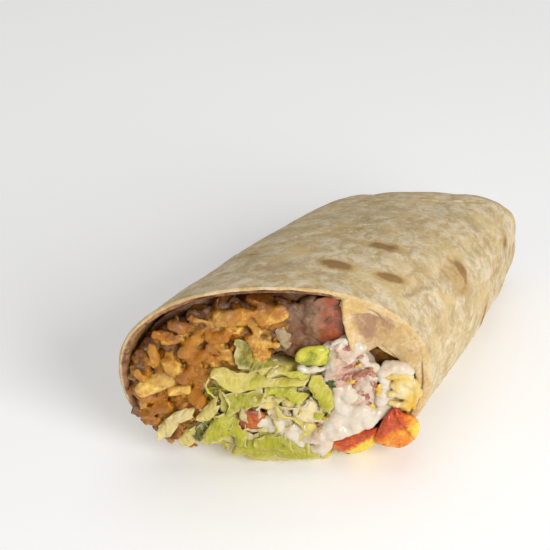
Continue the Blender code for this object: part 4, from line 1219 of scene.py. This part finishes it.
def shredFinish():
    look = leafLook
    f = Finish("lettuceShred", Subsurface_Weight=0.45, Subsurface_Scale=0.003, Specular_IOR_Level=0.25, Coat_Weight=0.12)
    f.shader.inputs["Subsurface Radius"].default_value = (0.9, 1.0, 0.3)
    broad, fine = f.noise(3.2, 4, 0.6, 0.6), f.noise(0.8, 3, 0.6, at=3.3)
    value = f.attribute("tone") * 0.7 + (broad - 0.5) * 0.7 + 0.12
    color = f.ramp(value, (0.16, look["cream"]), (0.40, look["white"]), (0.62, look["yellow"]), (0.84, look["lime"]), (1.0, look["green"]))
    color = f.blend(f.ramp(f.noise(5, 3, at=6.0), (0.58, 0.0), (0.72, 0.5)), color, look["rust"])
    return f.done(color, f.ramp(fine, (0.3, 0.22), (0.7, 0.45)), broad * 0.4 + fine * 0.25, 0.5, 0.4)


def leafGrid(spec, seed):
    first, second, outFirst, outSecond, bulge, ruffle, green, rich = spec
    high, wide = leafLook["along"], leafLook["across"]
    a, b = smoothPath(first, high), smoothPath(second, high)
    u, v = np.meshgrid(np.linspace(0, 1, high), np.linspace(0, 1, wide), indexing="ij")
    flat = a[:, None, :] * (1 - v[..., None]) + b[:, None, :] * v[..., None]
    spot = np.stack([flat[..., 0], flat[..., 1], 0 * u], -1)
    out = outFirst * (1 - v) + outSecond * v + bulge * np.sin(math.pi * v)
    rim = np.maximum(np.abs(2 * v - 1), np.abs(2 * u - 1) ** 3) ** 2
    out = out + (0.2 + ruffle) * (1.9 * rumple(spot, 2.6, seed, 3) * (0.5 + rim) + 1.1 * np.sin(u * 15 + seed) * np.abs(2 * v - 1) ** 3)
    jag = (0.25 + ruffle) * rumple(spot, 1.6, seed + 30, 3) * rim
    points = standing(flat[..., 0] + jag, flat[..., 1] + 0.8 * jag, (outFirst + outSecond) / 2 + 0.5 * bulge, out)
    edge = np.clip((np.maximum(np.abs(2 * v - 1), np.abs(2 * u - 1)) - 0.72) / 0.28, 0, 1)
    length = np.hypot(*np.diff(a, axis=0).T).sum()
    vein = 0.5 + 0.5 * np.sin(u * length * 4.6 + 3.5 * rumple(spot, 3, seed + 9, 2) + 3 * v)
    vein = np.clip((vein - 0.45) * 2.0, 0, 1) * (1 - edge)
    index = np.arange(high * wide).reshape(high, wide)
    faces = np.stack([index[:-1, :-1], index[1:, :-1], index[1:, 1:], index[:-1, 1:]], -1).reshape(-1, 4)
    ones = np.ones(u.shape)
    return points.reshape(-1, 3), faces, {"green": ones * green, "rich": ones * rich, "edge": edge, "vein": vein}


def makeLettuce():
    core = layerCopy("lettuceCore", "lettuce", leafFinish("lettuceCore", True), 0.75, 3)
    unevenFace(core, 4.0, 1.8, 31)
    unevenFace(core, 1.7, 0.8, 32)
    points = pointsOf(core)
    points[:, 1] += 1.6 * (1 - easeStep(behindCut(points) / 6))
    movePoints(core, points)
    settle(core, "lettuce", "lettuce")
    points, faces, named, start = [], [], {}, 0
    for seed, spec in enumerate(leafLook["leaves"].values()):
        leafPoints, leafFaces, fields = leafGrid(spec, seed + 40)
        points.append(leafPoints)
        faces += (leafFaces + start).tolist()
        start += len(leafPoints)
        for key, values in fields.items():
            named.setdefault(key, []).append(values.reshape(-1))
    finish = leafFinish("lettuceLeaf")
    obj = addPiece("lettuceLeaves", np.concatenate(points), faces, finish, {k: np.concatenate(v) for k, v in named.items()})
    thicken = obj.modifiers.new("thicken", "SOLIDIFY")
    thicken.thickness = leafLook["thickness"] * mm
    thicken.offset = 0
    round_ = obj.modifiers.new("round", "SUBSURF")
    round_.levels = round_.render_levels = 1
    bake(obj)
    facingOut(obj)
    obj.data.shade_smooth()
    settle(obj, "lettuce")
    spec = layers["lettuce"]
    stock = stockOf("shreds", [shredShape(6.5, 2.4, 0.9, 1), shredShape(5.0, 2.0, 0.6, 2), shredShape(7.5, 1.8, 1.3, 3),
                               shredShape(4.2, 2.6, 0.4, 4), shredShape(3.4, 1.8, 0.5, 5), shredShape(5.6, 3.0, 0.8, 6)])
    pieces = []
    for index, (sink, tilt, extra) in enumerate(((1.0, 0.6, 0.0), (-0.3, 0.6, 0.6), (-1.6, 0.4, 2.6))):
        patch = facePatch("patch", spec["shredded"], spec["stands"], 1.2)
        pieces.append(strew(f"shreds{index}", patch, stock, shredFinish(), leafLook["shredSpacing"] + extra, 0.7, 1.1, tilt, sink, 0.7, 13 + index))
    shreds = joined("lettuceShreds", pieces)
    roughen(shreds, 0.25, 1.6, 35)
    settle(shreds, "lettuce")
    soft, pale = shredFinish(), plainFinish("onion", beanLook["pale"], leafLook["onion"], leafLook["onion"], 1.8, 0.3, 0.4)
    ribs = []
    for index, (outline, out, tone) in enumerate(leafLook["ribs"]):
        rib = cutPiece("rib", {"outline": outline, "out": out, "high": 1.1, "rounding": 1.2, "rough": 0.5, "size": 2.0, "deep": 2.5}, soft, 80 + index,
                       {"tone": lambda x, z, tone=tone: tone + 0 * x})
        ribs.append(rib)
    settle(joined("lettuceRibs", ribs), "lettuce")
    onion = cutPiece("onionPiece", {"outline": ((0.8, 42.0), (2.4, 42.8), (3.6, 40.8), (3.9, 37.8), (2.8, 36.0), (1.5, 38.0)), "out": 1.3, "high": 0.6,
                                    "rounding": 1.4, "rough": 0.6, "size": 1.8, "deep": 3.0}, pale, 88)
    settle(onion, "lettuce")
    base = layerCopy("bottomLeafCore", "lettuce_leaf", leafFinish("bottomLeafCore", True), 0.6, 3)
    points = pointsOf(base)
    points[:, 1] += 1.2 * (1 - easeStep(behindCut(points) / 6))
    movePoints(base, points)
    unevenFace(base, 2.6, 1.0, 33)
    settle(base, "lettuce_leaf", "lettuce_leaf")


makeLettuce()
print("lettuce done")

# ---- cream, tomato, avocado and cheese

wetLook = {
    "cream": (0.70, 0.62, 0.50), "pink": (0.58, 0.32, 0.22), "rose": (0.38, 0.085, 0.06), "mauve": (0.46, 0.22, 0.16), "warm": (0.66, 0.50, 0.27),
    "deepRed": (0.36, 0.03, 0.006), "red": (0.55, 0.08, 0.012), "orange": (0.76, 0.27, 0.015), "skin": (0.80, 0.60, 0.05),
    # the hollow colour on the next line is painted shade for the dark hollow at the top right
    "milky": (0.38, 0.18, 0.10), "brick": (0.24, 0.06, 0.025), "faded": (0.30, 0.085, 0.04), "hollow": (0.15, 0.065, 0.006),
    "avocado": (0.48, 0.48, 0.035), "avocadoPale": (0.68, 0.62, 0.10), "avocadoDeep": (0.24, 0.26, 0.02),
    "cheese": (0.69, 0.475, 0.09), "cheesePale": (0.71, 0.54, 0.20), "cheeseMilk": (0.76, 0.65, 0.40), "cheeseDeep": (0.68, 0.40, 0.025),
    "herb": (0.05, 0.085, 0.02), "bump": (0.72, 0.56, 0.38),
    # what is cut at the face: outline (x, z), how far it stands out, how deep, how high its rounding, roughness
    "pieces": {
        "tomato1Piece": {"outline": ((7.6, 46.5), (9.0, 50.4), (12, 51.6), (14.8, 51.0), (15.8, 46), (15.6, 41), (14.0, 37.4), (10.2, 37.2), (7.2, 41.6)),
                         "out": 0.7, "high": 1.0, "rounding": 5.0, "rough": 0.6, "size": 3.2, "deep": 5.0},
        "tomato2Piece": {"outline": ((-9.8, 14.6), (-7.8, 16.4), (-4.8, 16.2), (-2.6, 14.0), (-2.8, 10.6), (-6.0, 9.4), (-9.6, 11.2)),
                         "out": 3.6, "high": 1.5, "rounding": 2.2, "rough": 0.45, "deep": 5.0},
        "tomato3Piece": {"outline": ((10.4, 3.6), (13.0, 6.6), (16.0, 8.8), (19.4, 10.2), (21.6, 10.6), (21.9, 7.6), (20.6, 4.4), (17.4, 1.4), (14.4, 0.9)),
                         "out": 4.4, "high": 1.5, "rounding": 2.6, "rough": 0.3, "deep": 8.0, "lean": (0.02, 0.22)},
        "tomato4Piece": {"outline": ((22.6, 13.6), (24.8, 16.6), (26.6, 14.9), (29.4, 12.0), (29.2, 6.6), (27.0, 3.3), (23.6, 3.3), (20.4, 5.8), (21.2, 9.8)),
                         "out": 5.8, "high": 1.5, "rounding": 2.2, "rough": 0.7, "size": 3.0, "deep": 8.0, "lean": (-0.14, 0.1)},
        "avocadoPiece": {"outline": ((4.0, 32.6), (5.2, 35.4), (8.6, 36.4), (11.2, 35.6), (11.4, 32.0), (10.6, 30.2), (8.0, 29.8), (5.4, 30.6)),
                         "out": 3.4, "high": 2.0, "rounding": 2.4, "rough": 0.25, "size": 3.4, "deep": 6.0, "lean": (0.0, 0.1)},
    },
    # red and pink bits in the cream: outline middle (x, z), half sizes, turn in degrees, redness
    "bits": ((14.6, 35.4, 1.9, 1.2, 10, 1.0), (15.2, 31.4, 1.7, 2.0, 0, 0.35), (18.8, 28.2, 2.3, 1.0, 45, 0.8),
             (15.2, 26.6, 1.5, 1.0, 20, 0.3), (18.6, 21.2, 1.6, 1.5, 80, 0.5), (18.6, 18.4, 1.3, 1.1, 0, 0.3),
             (20.8, 27.4, 1.4, 0.9, -40, 0.4), (9.4, 11.2, 1.6, 1.1, 15, 0.25), (17.2, 33.6, 1.3, 0.8, -30, 0.5),
             (12.9, 29.4, 0.9, 1.5, 10, 0.3), (20.9, 24.0, 0.7, 1.6, 10, 0.3), (12.0, 12.6, 1.2, 0.8, -20, 0.2),
             (16.9, 24.4, 1.1, 0.7, 60, 0.6), (13.7, 33.2, 0.8, 0.6, 0, 0.7)),
    "yellowBits": ((21.8, 22.6, 0.7, 2.2, 4), (21.7, 15.6, 1.2, 0.9, 20), (20.0, 17.8, 0.6, 1.4, 30), (16.0, 25.4, 1.2, 0.5, 15),
                   (11.6, 13.6, 1.6, 0.7, -20), (17.6, 30.6, 0.7, 0.5, 50)),
    "herbs": ((11.7, 25.4, 0.8, 1.9, 0.3), (12.6, 24.0, 1.3, 0.6, 0.4), (11.0, 27.2, 1.0, 0.5, 0.2), (10.7, 22.9, 0.5, 1.2, 0.2), (13.0, 26.0, 0.9, 0.45, 0.5)),
    "hollowAt": ((20.6, 37.0), (24.0, 38.6), (27.4, 37.0), (29.0, 31.6), (25.1, 31.4), (22.6, 32.2)),
}


def creamFinish(name="sourCream"):
    look = wetLook
    f = Finish(name, Subsurface_Weight=0.35, Subsurface_Scale=0.003, Specular_IOR_Level=0.4, Coat_Weight=0.25)
    broad, fine = f.noise(5.5, 4, 0.55, 0.6), f.noise(1.4, 3, 0.55, 0.5, at=4.0)
    color = f.blend(f.ramp(broad, (0.56, 0.0), (0.68, 0.35)), look["cream"], look["pink"])
    tinted = f.attribute("salsa") * f.ramp(fine * 0.6 + broad * 0.4, (0.36, 0.0), (0.54, 1.0))
    color = f.blend(tinted, color, look["pink"])
    color = f.blend(f.attribute("salsa") * f.ramp(f.noise(2.4, 4, 0.6, 0.6, at=12.0), (0.50, 0.0), (0.62, 0.9)), color, look["mauve"])
    color = f.blend(f.ramp(f.noise(3.5, 3, at=8.0), (0.54, 0.0), (0.66, 0.6)), color, look["warm"])
    # painted shade: cream seen through the hollow is darkened to the hollow colour
    color = f.blend(f.attribute("hollow"), color, look["hollow"])
    return f.done(color, f.ramp(fine, (0.3, 0.16), (0.7, 0.36)), broad * 0.6 + fine * 0.2, 0.4, 0.5)


def tomatoFinish(name, milky):
    look = wetLook
    f = Finish(name, Subsurface_Weight=0.3, Subsurface_Scale=0.0025, Specular_IOR_Level=0.3, Coat_Weight=0.2)
    f.shader.inputs["Subsurface Radius"].default_value = (1.0, 0.35, 0.15)
    broad, fine = f.noise(3.0, 4, 0.6, 0.9), f.noise(0.9, 3, 0.6, at=2.0)
    value = f.attribute("skin") + (broad - 0.5) * 0.9 + (fine - 0.5) * 0.6
    color = f.ramp(value, (0.0, look["deepRed"]), (0.28, look["red"]), (0.58, look["orange"]), (0.86, look["skin"]))
    if milky:
        color = f.blend(milky, color, look["faded"])
        color = f.blend(f.ramp(f.noise(4.5, 4, 0.6, 0.6, at=6.0), (0.48, 0.0), (0.66, 0.8)), color, look["milky"])
        color = f.blend(f.ramp(f.noise(2.6, 4, 0.6, 0.6, at=9.0), (0.44, 0.0), (0.60, 0.8)), color, look["brick"])
        color = f.blend(f.attribute("mashed") * f.ramp(fine, (0.35, 0.5), (0.65, 1.0)), color, beanLook["pale"])
    return f.done(color, f.ramp(fine, (0.3, 0.16), (0.7, 0.36)), broad * 0.5 + fine * 0.4, 0.5, 0.5)


def bitShape(across, up, turn, seed):
    a = np.arange(9) * math.tau / 9
    reach = 1 + 0.22 * np.sin(2 * a + seed) + 0.15 * np.sin(3 * a + 2.3 * seed)
    c, s = math.cos(math.radians(turn)), math.sin(math.radians(turn))
    x, z = across * reach * np.cos(a), up * reach * np.sin(a)
    return np.stack([c * x - s * z, s * x + c * z], -1)


# How much of the hollow's shade a point has, for points that are seen through the hollow
def seenHollow(obj):
    points = pointsOf(obj)
    behind = behindCut(points)
    away = outlineDistance(points[:, 0] + 0.405 * behind, points[:, 2] + 0.6 * behind, wetLook["hollowAt"])
    return easeStep(0.7 - away / 1.6) * easeStep((behind - 0.5) / 2)


def makeCream():
    look = wetLook
    finish = creamFinish()
    obj = layerCopy("creamMass", "sour_cream", finish, 0.6, 6)
    points = pointsOf(obj)
    x, z = points[:, 0], points[:, 2]
    near = 1 - easeStep(behindCut(points) / 6)
    seen = [outlineDistance(x + 0.405 * d, z + 0.6 * d, look["hollowAt"]) for d in (0, 1.5, 3, 4.5)]
    points[:, 1] += easeStep(0.5 - np.min(seen, axis=0) / 1.2) * near * 6.5 - 0.5 * near
    movePoints(obj, points)
    unevenFace(obj, 5.0, 1.9, 51)
    unevenFace(obj, 2.2, 0.5, 52)
    salsa = np.exp(-(((x - 16.5) / 4.5) ** 2 + ((z - 30) / 7.0) ** 2)) + 0.6 * np.exp(-(((x - 18.5) / 3) ** 2 + ((z - 20) / 3.5) ** 2))
    store(obj, "salsa", np.clip(salsa, 0, 1))
    # painted shade for the cream that is seen through the hollow
    store(obj, "hollow", seenHollow(obj))
    settle(obj, "sour_cream", "sour_cream")
    lumps = lumpLine(((-2.6, 13.0, 2.0), (-0.6, 11.6, 2.3), (1.4, 9.6, 2.5), (3.2, 6.8, 2.4), (4.6, 4.4, 2.2)), 1.7, 0.5, 2, 1.2)
    lumps += [(2.5, 15.0, 2.2, 1.6), (5.5, 11.2, 2.5, 1.6), (7.6, 14.6, 2.4, 1.5), (3.4, 12.0, 2.4, 1.7), (6.8, 18.4, 2.0, 1.3),
              (1.2, 7.4, 2.3, 1.7), (3.0, 9.4, 2.4, 1.7), (6.6, 8.4, 2.5, 1.8), (8.8, 17.0, 2.2, 1.4)]
    lumps += lumpLine(((5.4, 4.0, 2.8), (7.6, 3.4, 2.8), (9.8, 4.4, 3.0), (10.6, 7.4, 3.0), (10.4, 10.4, 3.0), (11.6, 12.6, 2.8)), 1.9, 0.9, 3, 0.4)
    lumps += lumpLine(((8.0, 8.4, 2.8), (9.6, 9.4, 3.0), (12.4, 9.6, 3.2), (15.6, 11.8, 3.0), (19.0, 13.6, 3.0), (21.4, 15.0, 2.8)), 2.3, 0.9, 4, 0.4)
    lumps += lumpLine(((13.0, 13.8, 2.4), (16.0, 15.4, 2.4), (18.6, 16.6, 2.4)), 2.6, 1.0, 14, 0.4)
    lumps += lumpLine(((14.0, 18.4, 2.2), (15.4, 21.6, 2.3), (15.2, 24.0, 2.2)), 2.3, 1.0, 15, 0.4)
    lumps += lumpLine(((5.6, 30.3, 2.0), (7.4, 29.7, 2.4), (9.6, 30.0, 2.4), (12.2, 31.2, 2.4)), 0.95, 0.5, 5, 0.25)
    lumps += lumpLine(((12.2, 36.2, 2.2), (13.2, 38.4, 2.4), (14.8, 38.8, 2.4), (16.2, 37.0, 2.2)), 0.8, 0.6, 6, 0.3)
    lumps += lumpLine(((17.4, 37.4, 1.6), (18.2, 35.0, 1.8), (19.4, 32.0, 1.8), (21.8, 29.8, 1.8)), 1.2, 0.7, 7, 0.4)
    lumps += lumpLine(((22.6, 14.6, 2.4), (22.8, 18.6, 2.2), (22.6, 22.6, 2.0), (23.2, 27.0, 1.8)), 1.5, 0.7, 8, 0.3)
    lumps += lumpLine(((24.2, 26.4, 0.3), (24.4, 22.0, 0.5), (24.2, 18.0, 0.8), (23.4, 15.4, 1.0)), 1.8, 0.8, 19, 0.2)
    lumps += lumpLine(((12.6, 17.0, 2.8), (13.0, 20.4, 3.0), (13.4, 24.2, 2.8)), 1.2, 0.8, 9, 0.3)
    lumps += lumpLine(((-0.8, 11.8, 2.9), (-0.4, 13.4, 2.7)), 1.1, 0.6, 10, 0.2)
    smears = softLumps("creamSmears", lumps, 0.34, creamFinish("creamSmear"), 0.35, 2.6, 53, 12)
    points = pointsOf(smears)
    x, z = points[:, 0], points[:, 2]
    store(smears, "salsa", np.clip(0.55 * np.exp(-(((x - 16.5) / 4.5) ** 2 + ((z - 31) / 6.0) ** 2)) + 0.35 * np.exp(-(((x - 9.5) / 3) ** 2 + ((z - 11) / 3) ** 2)), 0, 1))
    settle(smears, "sour_cream")
    rng = random.Random(5)
    pieces = []
    for kind, bits, stands in (("salsaRed", look["bits"], 3.4), ("salsaYellow", look["yellowBits"], 3.8)):
        if kind == "salsaRed":
            material = plainFinish("salsaRed", look["rose"], look["faded"], look["pink"], 1.6, 0.3, veil=look["pink"])
        else:
            material = plainFinish("salsaYellow", look["cheeseDeep"], look["cheese"], look["skin"], 1.6, 0.25)
        made = []
        for index, bit in enumerate(bits):
            outline = bitShape(*bit[2:5], index * 1.7) + np.array(bit[:2])
            spec = {"outline": outline.tolist(), "out": stands + rng.uniform(-0.3, 0.3), "high": 0.6, "rounding": 1.1, "rough": 0.4,
                    "size": 1.2, "deep": 1.8}
            made.append(cutPiece(kind, spec, material, 70 + index))
        pieces.append(settle(joined(kind + "Bits", made), "sour_cream"))
    made = []
    herbs = plainFinish("herb", look["herb"], look["herb"], look["avocadoDeep"], 1.2, 0.35)
    for index, (x, z, across, up, out) in enumerate(look["herbs"]):
        outline = bitShape(across, up, 10 * index, index * 2.1) + np.array((x, z))
        spec = {"outline": outline.tolist(), "out": 3.2 + out, "high": 0.4, "rounding": 0.5, "rough": 0.3, "size": 0.9, "deep": 1.2}
        made.append(cutPiece("herb", spec, herbs, 90 + index))
    settle(joined("cilantroBits", made), "lettuce")


def makeChunks():
    look = wetLook
    red, dull, orange = tomatoFinish("tomatoRed", 0.0), tomatoFinish("tomatoMilky", 0.7), tomatoFinish("tomatoOrange", 0.3)
    green = plainFinish("avocadoFlesh", look["avocadoDeep"], look["avocado"], look["avocadoPale"], 3.6, 0.2, 0.35)
    marks = {
        "tomato1Piece": lambda x, z: 0.22 + 0 * x,
        "tomato2Piece": lambda x, z: 0.34 + 0.3 * easeStep((12.6 - z) / 2.5),
        "tomato3Piece": lambda x, z: 0.20 + 0.75 * easeStep(((x - 12.5) * 0.68 - (z - 2.5) * 0.73 - 0.4) / 1.8) + 0.25 * easeStep((14 - x) / 3),
        "tomato4Piece": lambda x, z: 0.14 + 0.4 * easeStep((12.5 - z + 0.5 * (x - 25)) / 6) + 0.4 * easeStep((x - 26.4 + 0.25 * (z - 10)) / 3.4),
        "avocadoPiece": lambda x, z: 0 * x,
    }
    for name, finish, slot, node, seed in (("tomato1Piece", dull, "tomato", "tomato_1", 61), ("tomato2Piece", orange, "tomato", "tomato_2", 62),
                                           ("tomato3Piece", red, "tomato", "tomato_3", 63), ("tomato4Piece", red, "tomato", "tomato_4", 64),
                                           ("avocadoPiece", green, "avocado", "avocado", 65)):
        kept = {"skin": marks[name]}
        if name == "tomato1Piece":
            kept["mashed"] = lambda x, z: easeStep((11.4 - x + 0.1 * (z - 44)) / 2.6)
        relief = None if name != "tomato4Piece" else lambda x, z: -1.2 * np.exp(-(((x - 26.4 + 0.35 * (z - 10)) / 0.8) ** 2)) + 0.5 * rumple(np.stack([x, 0 * x, z], -1), 2.2, 79, 3)
        settle(cutPiece(name, look["pieces"][name], finish, seed, kept, relief), slot, node)


# The loose fold of the tortilla at the top right, with its ridge and its pocket
def makeFold():
    look = foldLook
    # dark lumps, coloured like dark mash, put in the hollow as its painted shade
    lumps = [(x, z, out, 1.7) for x, z, out in look["hollow"]]
    dark = plainFinish("hollowMash", riceLook["core"], wetLook["hollow"], riceLook["brown"], 2.0, 0.4)
    settle(softLumps("hollowMash", lumps, 0.45, dark, 0.5, 2.0, 75, 6), "refried_beans")
    ridge = smoothPath(look["ridge"], 24)

    def toRidge(x, z):
        return np.min([np.hypot(x - rx, (z - rz) * 0.6) for rx, rz in ridge], axis=0)

    def relief(x, z):
        pocket = easeStep(0.5 - outlineDistance(x, z, look["pocket"]) / 2.2)
        return 2.1 * np.exp(-((toRidge(x, z) / 0.8) ** 2)) - 0.4 * pocket + 0.25 * rumple(np.stack([x, 0 * x, z], -1), 3.0, 77, 3)

    marks = {
        "rim": lambda x, z: 1 + 0 * x, "inside": lambda x, z: 0 * x, "toast": lambda x, z: 0 * x, "mash": lambda x, z: 0 * x,
        "crease": lambda x, z: 0 * x, "smear": lambda x, z: 0.44 - 0.6 * np.exp(-((toRidge(x, z) / 1.0) ** 2)) + easeStep(0.5 - outlineDistance(x, z, look["pocket"]) / 3.0) * look["smearAmount"] * (0.8 + rumple(np.stack([x, 0 * x, z], -1), 2.6, 80, 3)),
        "gold": lambda x, z: 0.35 + 0.65 * np.exp(-((toRidge(x, z) / 1.3) ** 2)),
    }
    obj = cutPiece("tortillaFold", look["piece"], tortillaSkin, 78, marks, relief)
    settle(obj, "tortilla")


# Where the cheese is golden: a fold line near its top and its lower outer corner
def goldenAt(obj):
    points = pointsOf(obj)
    x, z = points[:, 0], points[:, 2]
    line = np.exp(-(((z - 27.6 - 0.3 * (x - 26)) / 0.6) ** 2) - ((x - 26) / 2.6) ** 2)
    corner = np.exp(-(((x - 30.2) / 2.6) ** 2 + ((z - 18.6) / 4.2) ** 2))
    return np.clip(line + 1.1 * corner, 0, 1)


def makeCheese():
    look = wetLook
    finish = plainFinish("cheese", look["cheese"], look["cheesePale"], look["cheeseMilk"], 4.4, 0.34, 0.35, 0.5, deepened=look["cheeseDeep"])
    obj = layerCopy("cheeseMass", "cheese", finish, 0.45, 5)
    unevenFace(obj, 3.4, 1.1, 71)
    unevenFace(obj, 1.6, 0.5, 72)
    store(obj, "deepened", goldenAt(obj))
    settle(obj, "cheese", "cheese")
    lumps = lumpLine(((23.0, 28.3, 2.4), (25.4, 29.8, 2.7), (27.6, 29.6, 2.4), (28.8, 28.6, 2.0)), 1.35, 0.6, 1, 0.15)
    lumps += lumpLine(((23.4, 30.2, 1.4), (25.4, 31.0, 1.4), (27.2, 30.2, 1.2)), 1.3, 0.6, 2, 0.15)
    fold = softLumps("creamFold", lumps, 0.34, plainFinish("creamFold", look["bump"], look["cream"], look["cream"], 3.0, 0.3), 0.25, 2.4, 73, 6)
    settle(fold, "sour_cream")
    shreds = []
    paths = (((24.0, 27.2, 2.6), (26.2, 28.2, 3.0), (28.6, 27.0, 2.6)), ((29.6, 25.2, 2.4), (30.0, 22.0, 2.4), (29.0, 18.6, 2.4)),
             ((24.6, 24.8, 2.8), (26.8, 25.6, 3.0), (28.6, 24.2, 2.6)), ((24.2, 21.4, 2.8), (26.6, 21.8, 3.0), (28.4, 20.4, 2.8)),
             ((24.4, 18.6, 3.0), (26.6, 18.2, 3.2), (28.2, 17.2, 3.0)), ((26.0, 23.4, 3.0), (27.6, 22.6, 2.8), (28.4, 21.8, 2.8)))
    for index, path in enumerate(paths):
        shreds += lumpLine(path, 1.05, 0.6, 20 + index, 0.3)
    loose = softLumps("cheeseShreds", shreds, 0.3, finish, 0.3, 2.0, 74, 6)
    store(loose, "deepened", goldenAt(loose))
    settle(loose, "cheese")


foldLook = {
    "piece": {"outline": ((14.9, 51.4), (14.8, 46.0), (15.6, 41.0), (16.4, 36.6), (17.2, 33.4), (18.4, 33.8), (19.8, 35.0), (21.4, 36.2),
                          (23.4, 37.2), (25.4, 37.0), (27.2, 35.8), (28.3, 33.6), (28.6, 30.8), (29.2, 28.4), (30.8, 30), (30.4, 36), (27.6, 42), (23, 46.8), (18.4, 50.6)),
              "out": 1.3, "high": 0.7, "rounding": 0.8, "rough": 0.3, "size": 3.0, "deep": 1.3},
    "ridge": ((15.8, 50.6), (16.0, 45.5), (16.7, 41.0), (17.4, 37.0), (17.8, 34.4)),
    "pocket": ((17.4, 47.6), (19.2, 48.2), (21.6, 47.2), (24.0, 44.8), (24.8, 42.6), (22.8, 40.8), (20.0, 39.8), (18.0, 40.8)),
    "smearAmount": 0.65,
    # where the dark lumps that paint the hollow's shade sit: (x, z, how far each stands out)
    "hollow": ((21.4, 35.6, -2.2), (22.8, 34.4, -2.6), (24.0, 35.2, -2.8), (25.4, 34.6, -2.6), (26.4, 33.4, -2.4), (24.6, 33.0, -2.8), (22.8, 32.6, -2.6),
               (23.2, 36.6, -2.4), (25.4, 36.4, -2.4), (27.2, 32.0, -2.4), (26.8, 35.4, -2.4)),
}

makeCream()
makeChunks()
makeFold()
makeCheese()
print("cream, tomato, avocado and cheese done")


# ---- floor, light and camera

studio = {
    "azimuth": 27.74, "elevation": 33.0, "distance": 0.52, "lens": 130.0, "target": (-0.0216, -0.00348, 0.02682),
    "floor": (0.95, 0.95, 0.95), "world": 0.34,
    # each soft light: where it stands, its side in metres and its power in watts
    "lights": {"key": ((0.62, -0.34, 0.36), 0.40, 4.6), "fill": ((-0.35, -0.7, 0.35), 0.6, 0.6), "top": ((-0.05, 0.1, 0.8), 0.6, 1.2)},
}


def makeStudio():
    f = Finish("floor", Roughness=0.9, Emission_Strength=0.12)
    f.shader.inputs["Emission Color"].default_value = (1, 1, 1, 1)
    color = f.blend(f.noise(40, 2), studio["floor"], tuple(0.985 * c for c in studio["floor"]))
    low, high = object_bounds()
    mesh = bpy.data.meshes.new("floor")
    mesh.from_pydata([(-3, -3, low.z), (3, -3, low.z), (3, 3, low.z), (-3, 3, low.z)], [], [(0, 1, 2, 3)])
    mesh.materials.append(f.done(color))
    floor = bpy.data.objects.new("floor", mesh)
    bpy.context.scene.collection.objects.link(floor)
    target = Vector(studio["target"])
    for name, (spot, side, power) in studio["lights"].items():
        lamp = bpy.data.lights.new(name, "AREA")
        lamp.size, lamp.energy = side, power
        obj = bpy.data.objects.new(name, lamp)
        obj.location = Vector(spot) + target
        obj.rotation_euler = (-Vector(spot)).to_track_quat("-Z", "Y").to_euler()
        bpy.context.scene.collection.objects.link(obj)
    world = bpy.data.worlds.new("room")
    world.use_nodes = True
    world.node_tree.nodes["Background"].inputs["Color"].default_value = (1.0, 0.995, 0.985, 1)
    world.node_tree.nodes["Background"].inputs["Strength"].default_value = studio["world"]
    bpy.context.scene.world = world
    bpy.context.scene.view_settings.view_transform = "Standard"
    around, up = math.radians(studio["azimuth"]), math.radians(studio["elevation"])
    back = Vector((math.sin(around) * math.cos(up), -math.cos(around) * math.cos(up), math.sin(up)))
    camera = bpy.data.objects.new("camera", bpy.data.cameras.new("camera"))
    camera.data.lens = studio["lens"]
    camera.location = target + back * studio["distance"]
    camera.rotation_euler = back.to_track_quat("Z", "Y").to_euler()
    bpy.context.scene.collection.objects.link(camera)
    bpy.context.scene.camera = camera


makeStudio()
print("scene done")
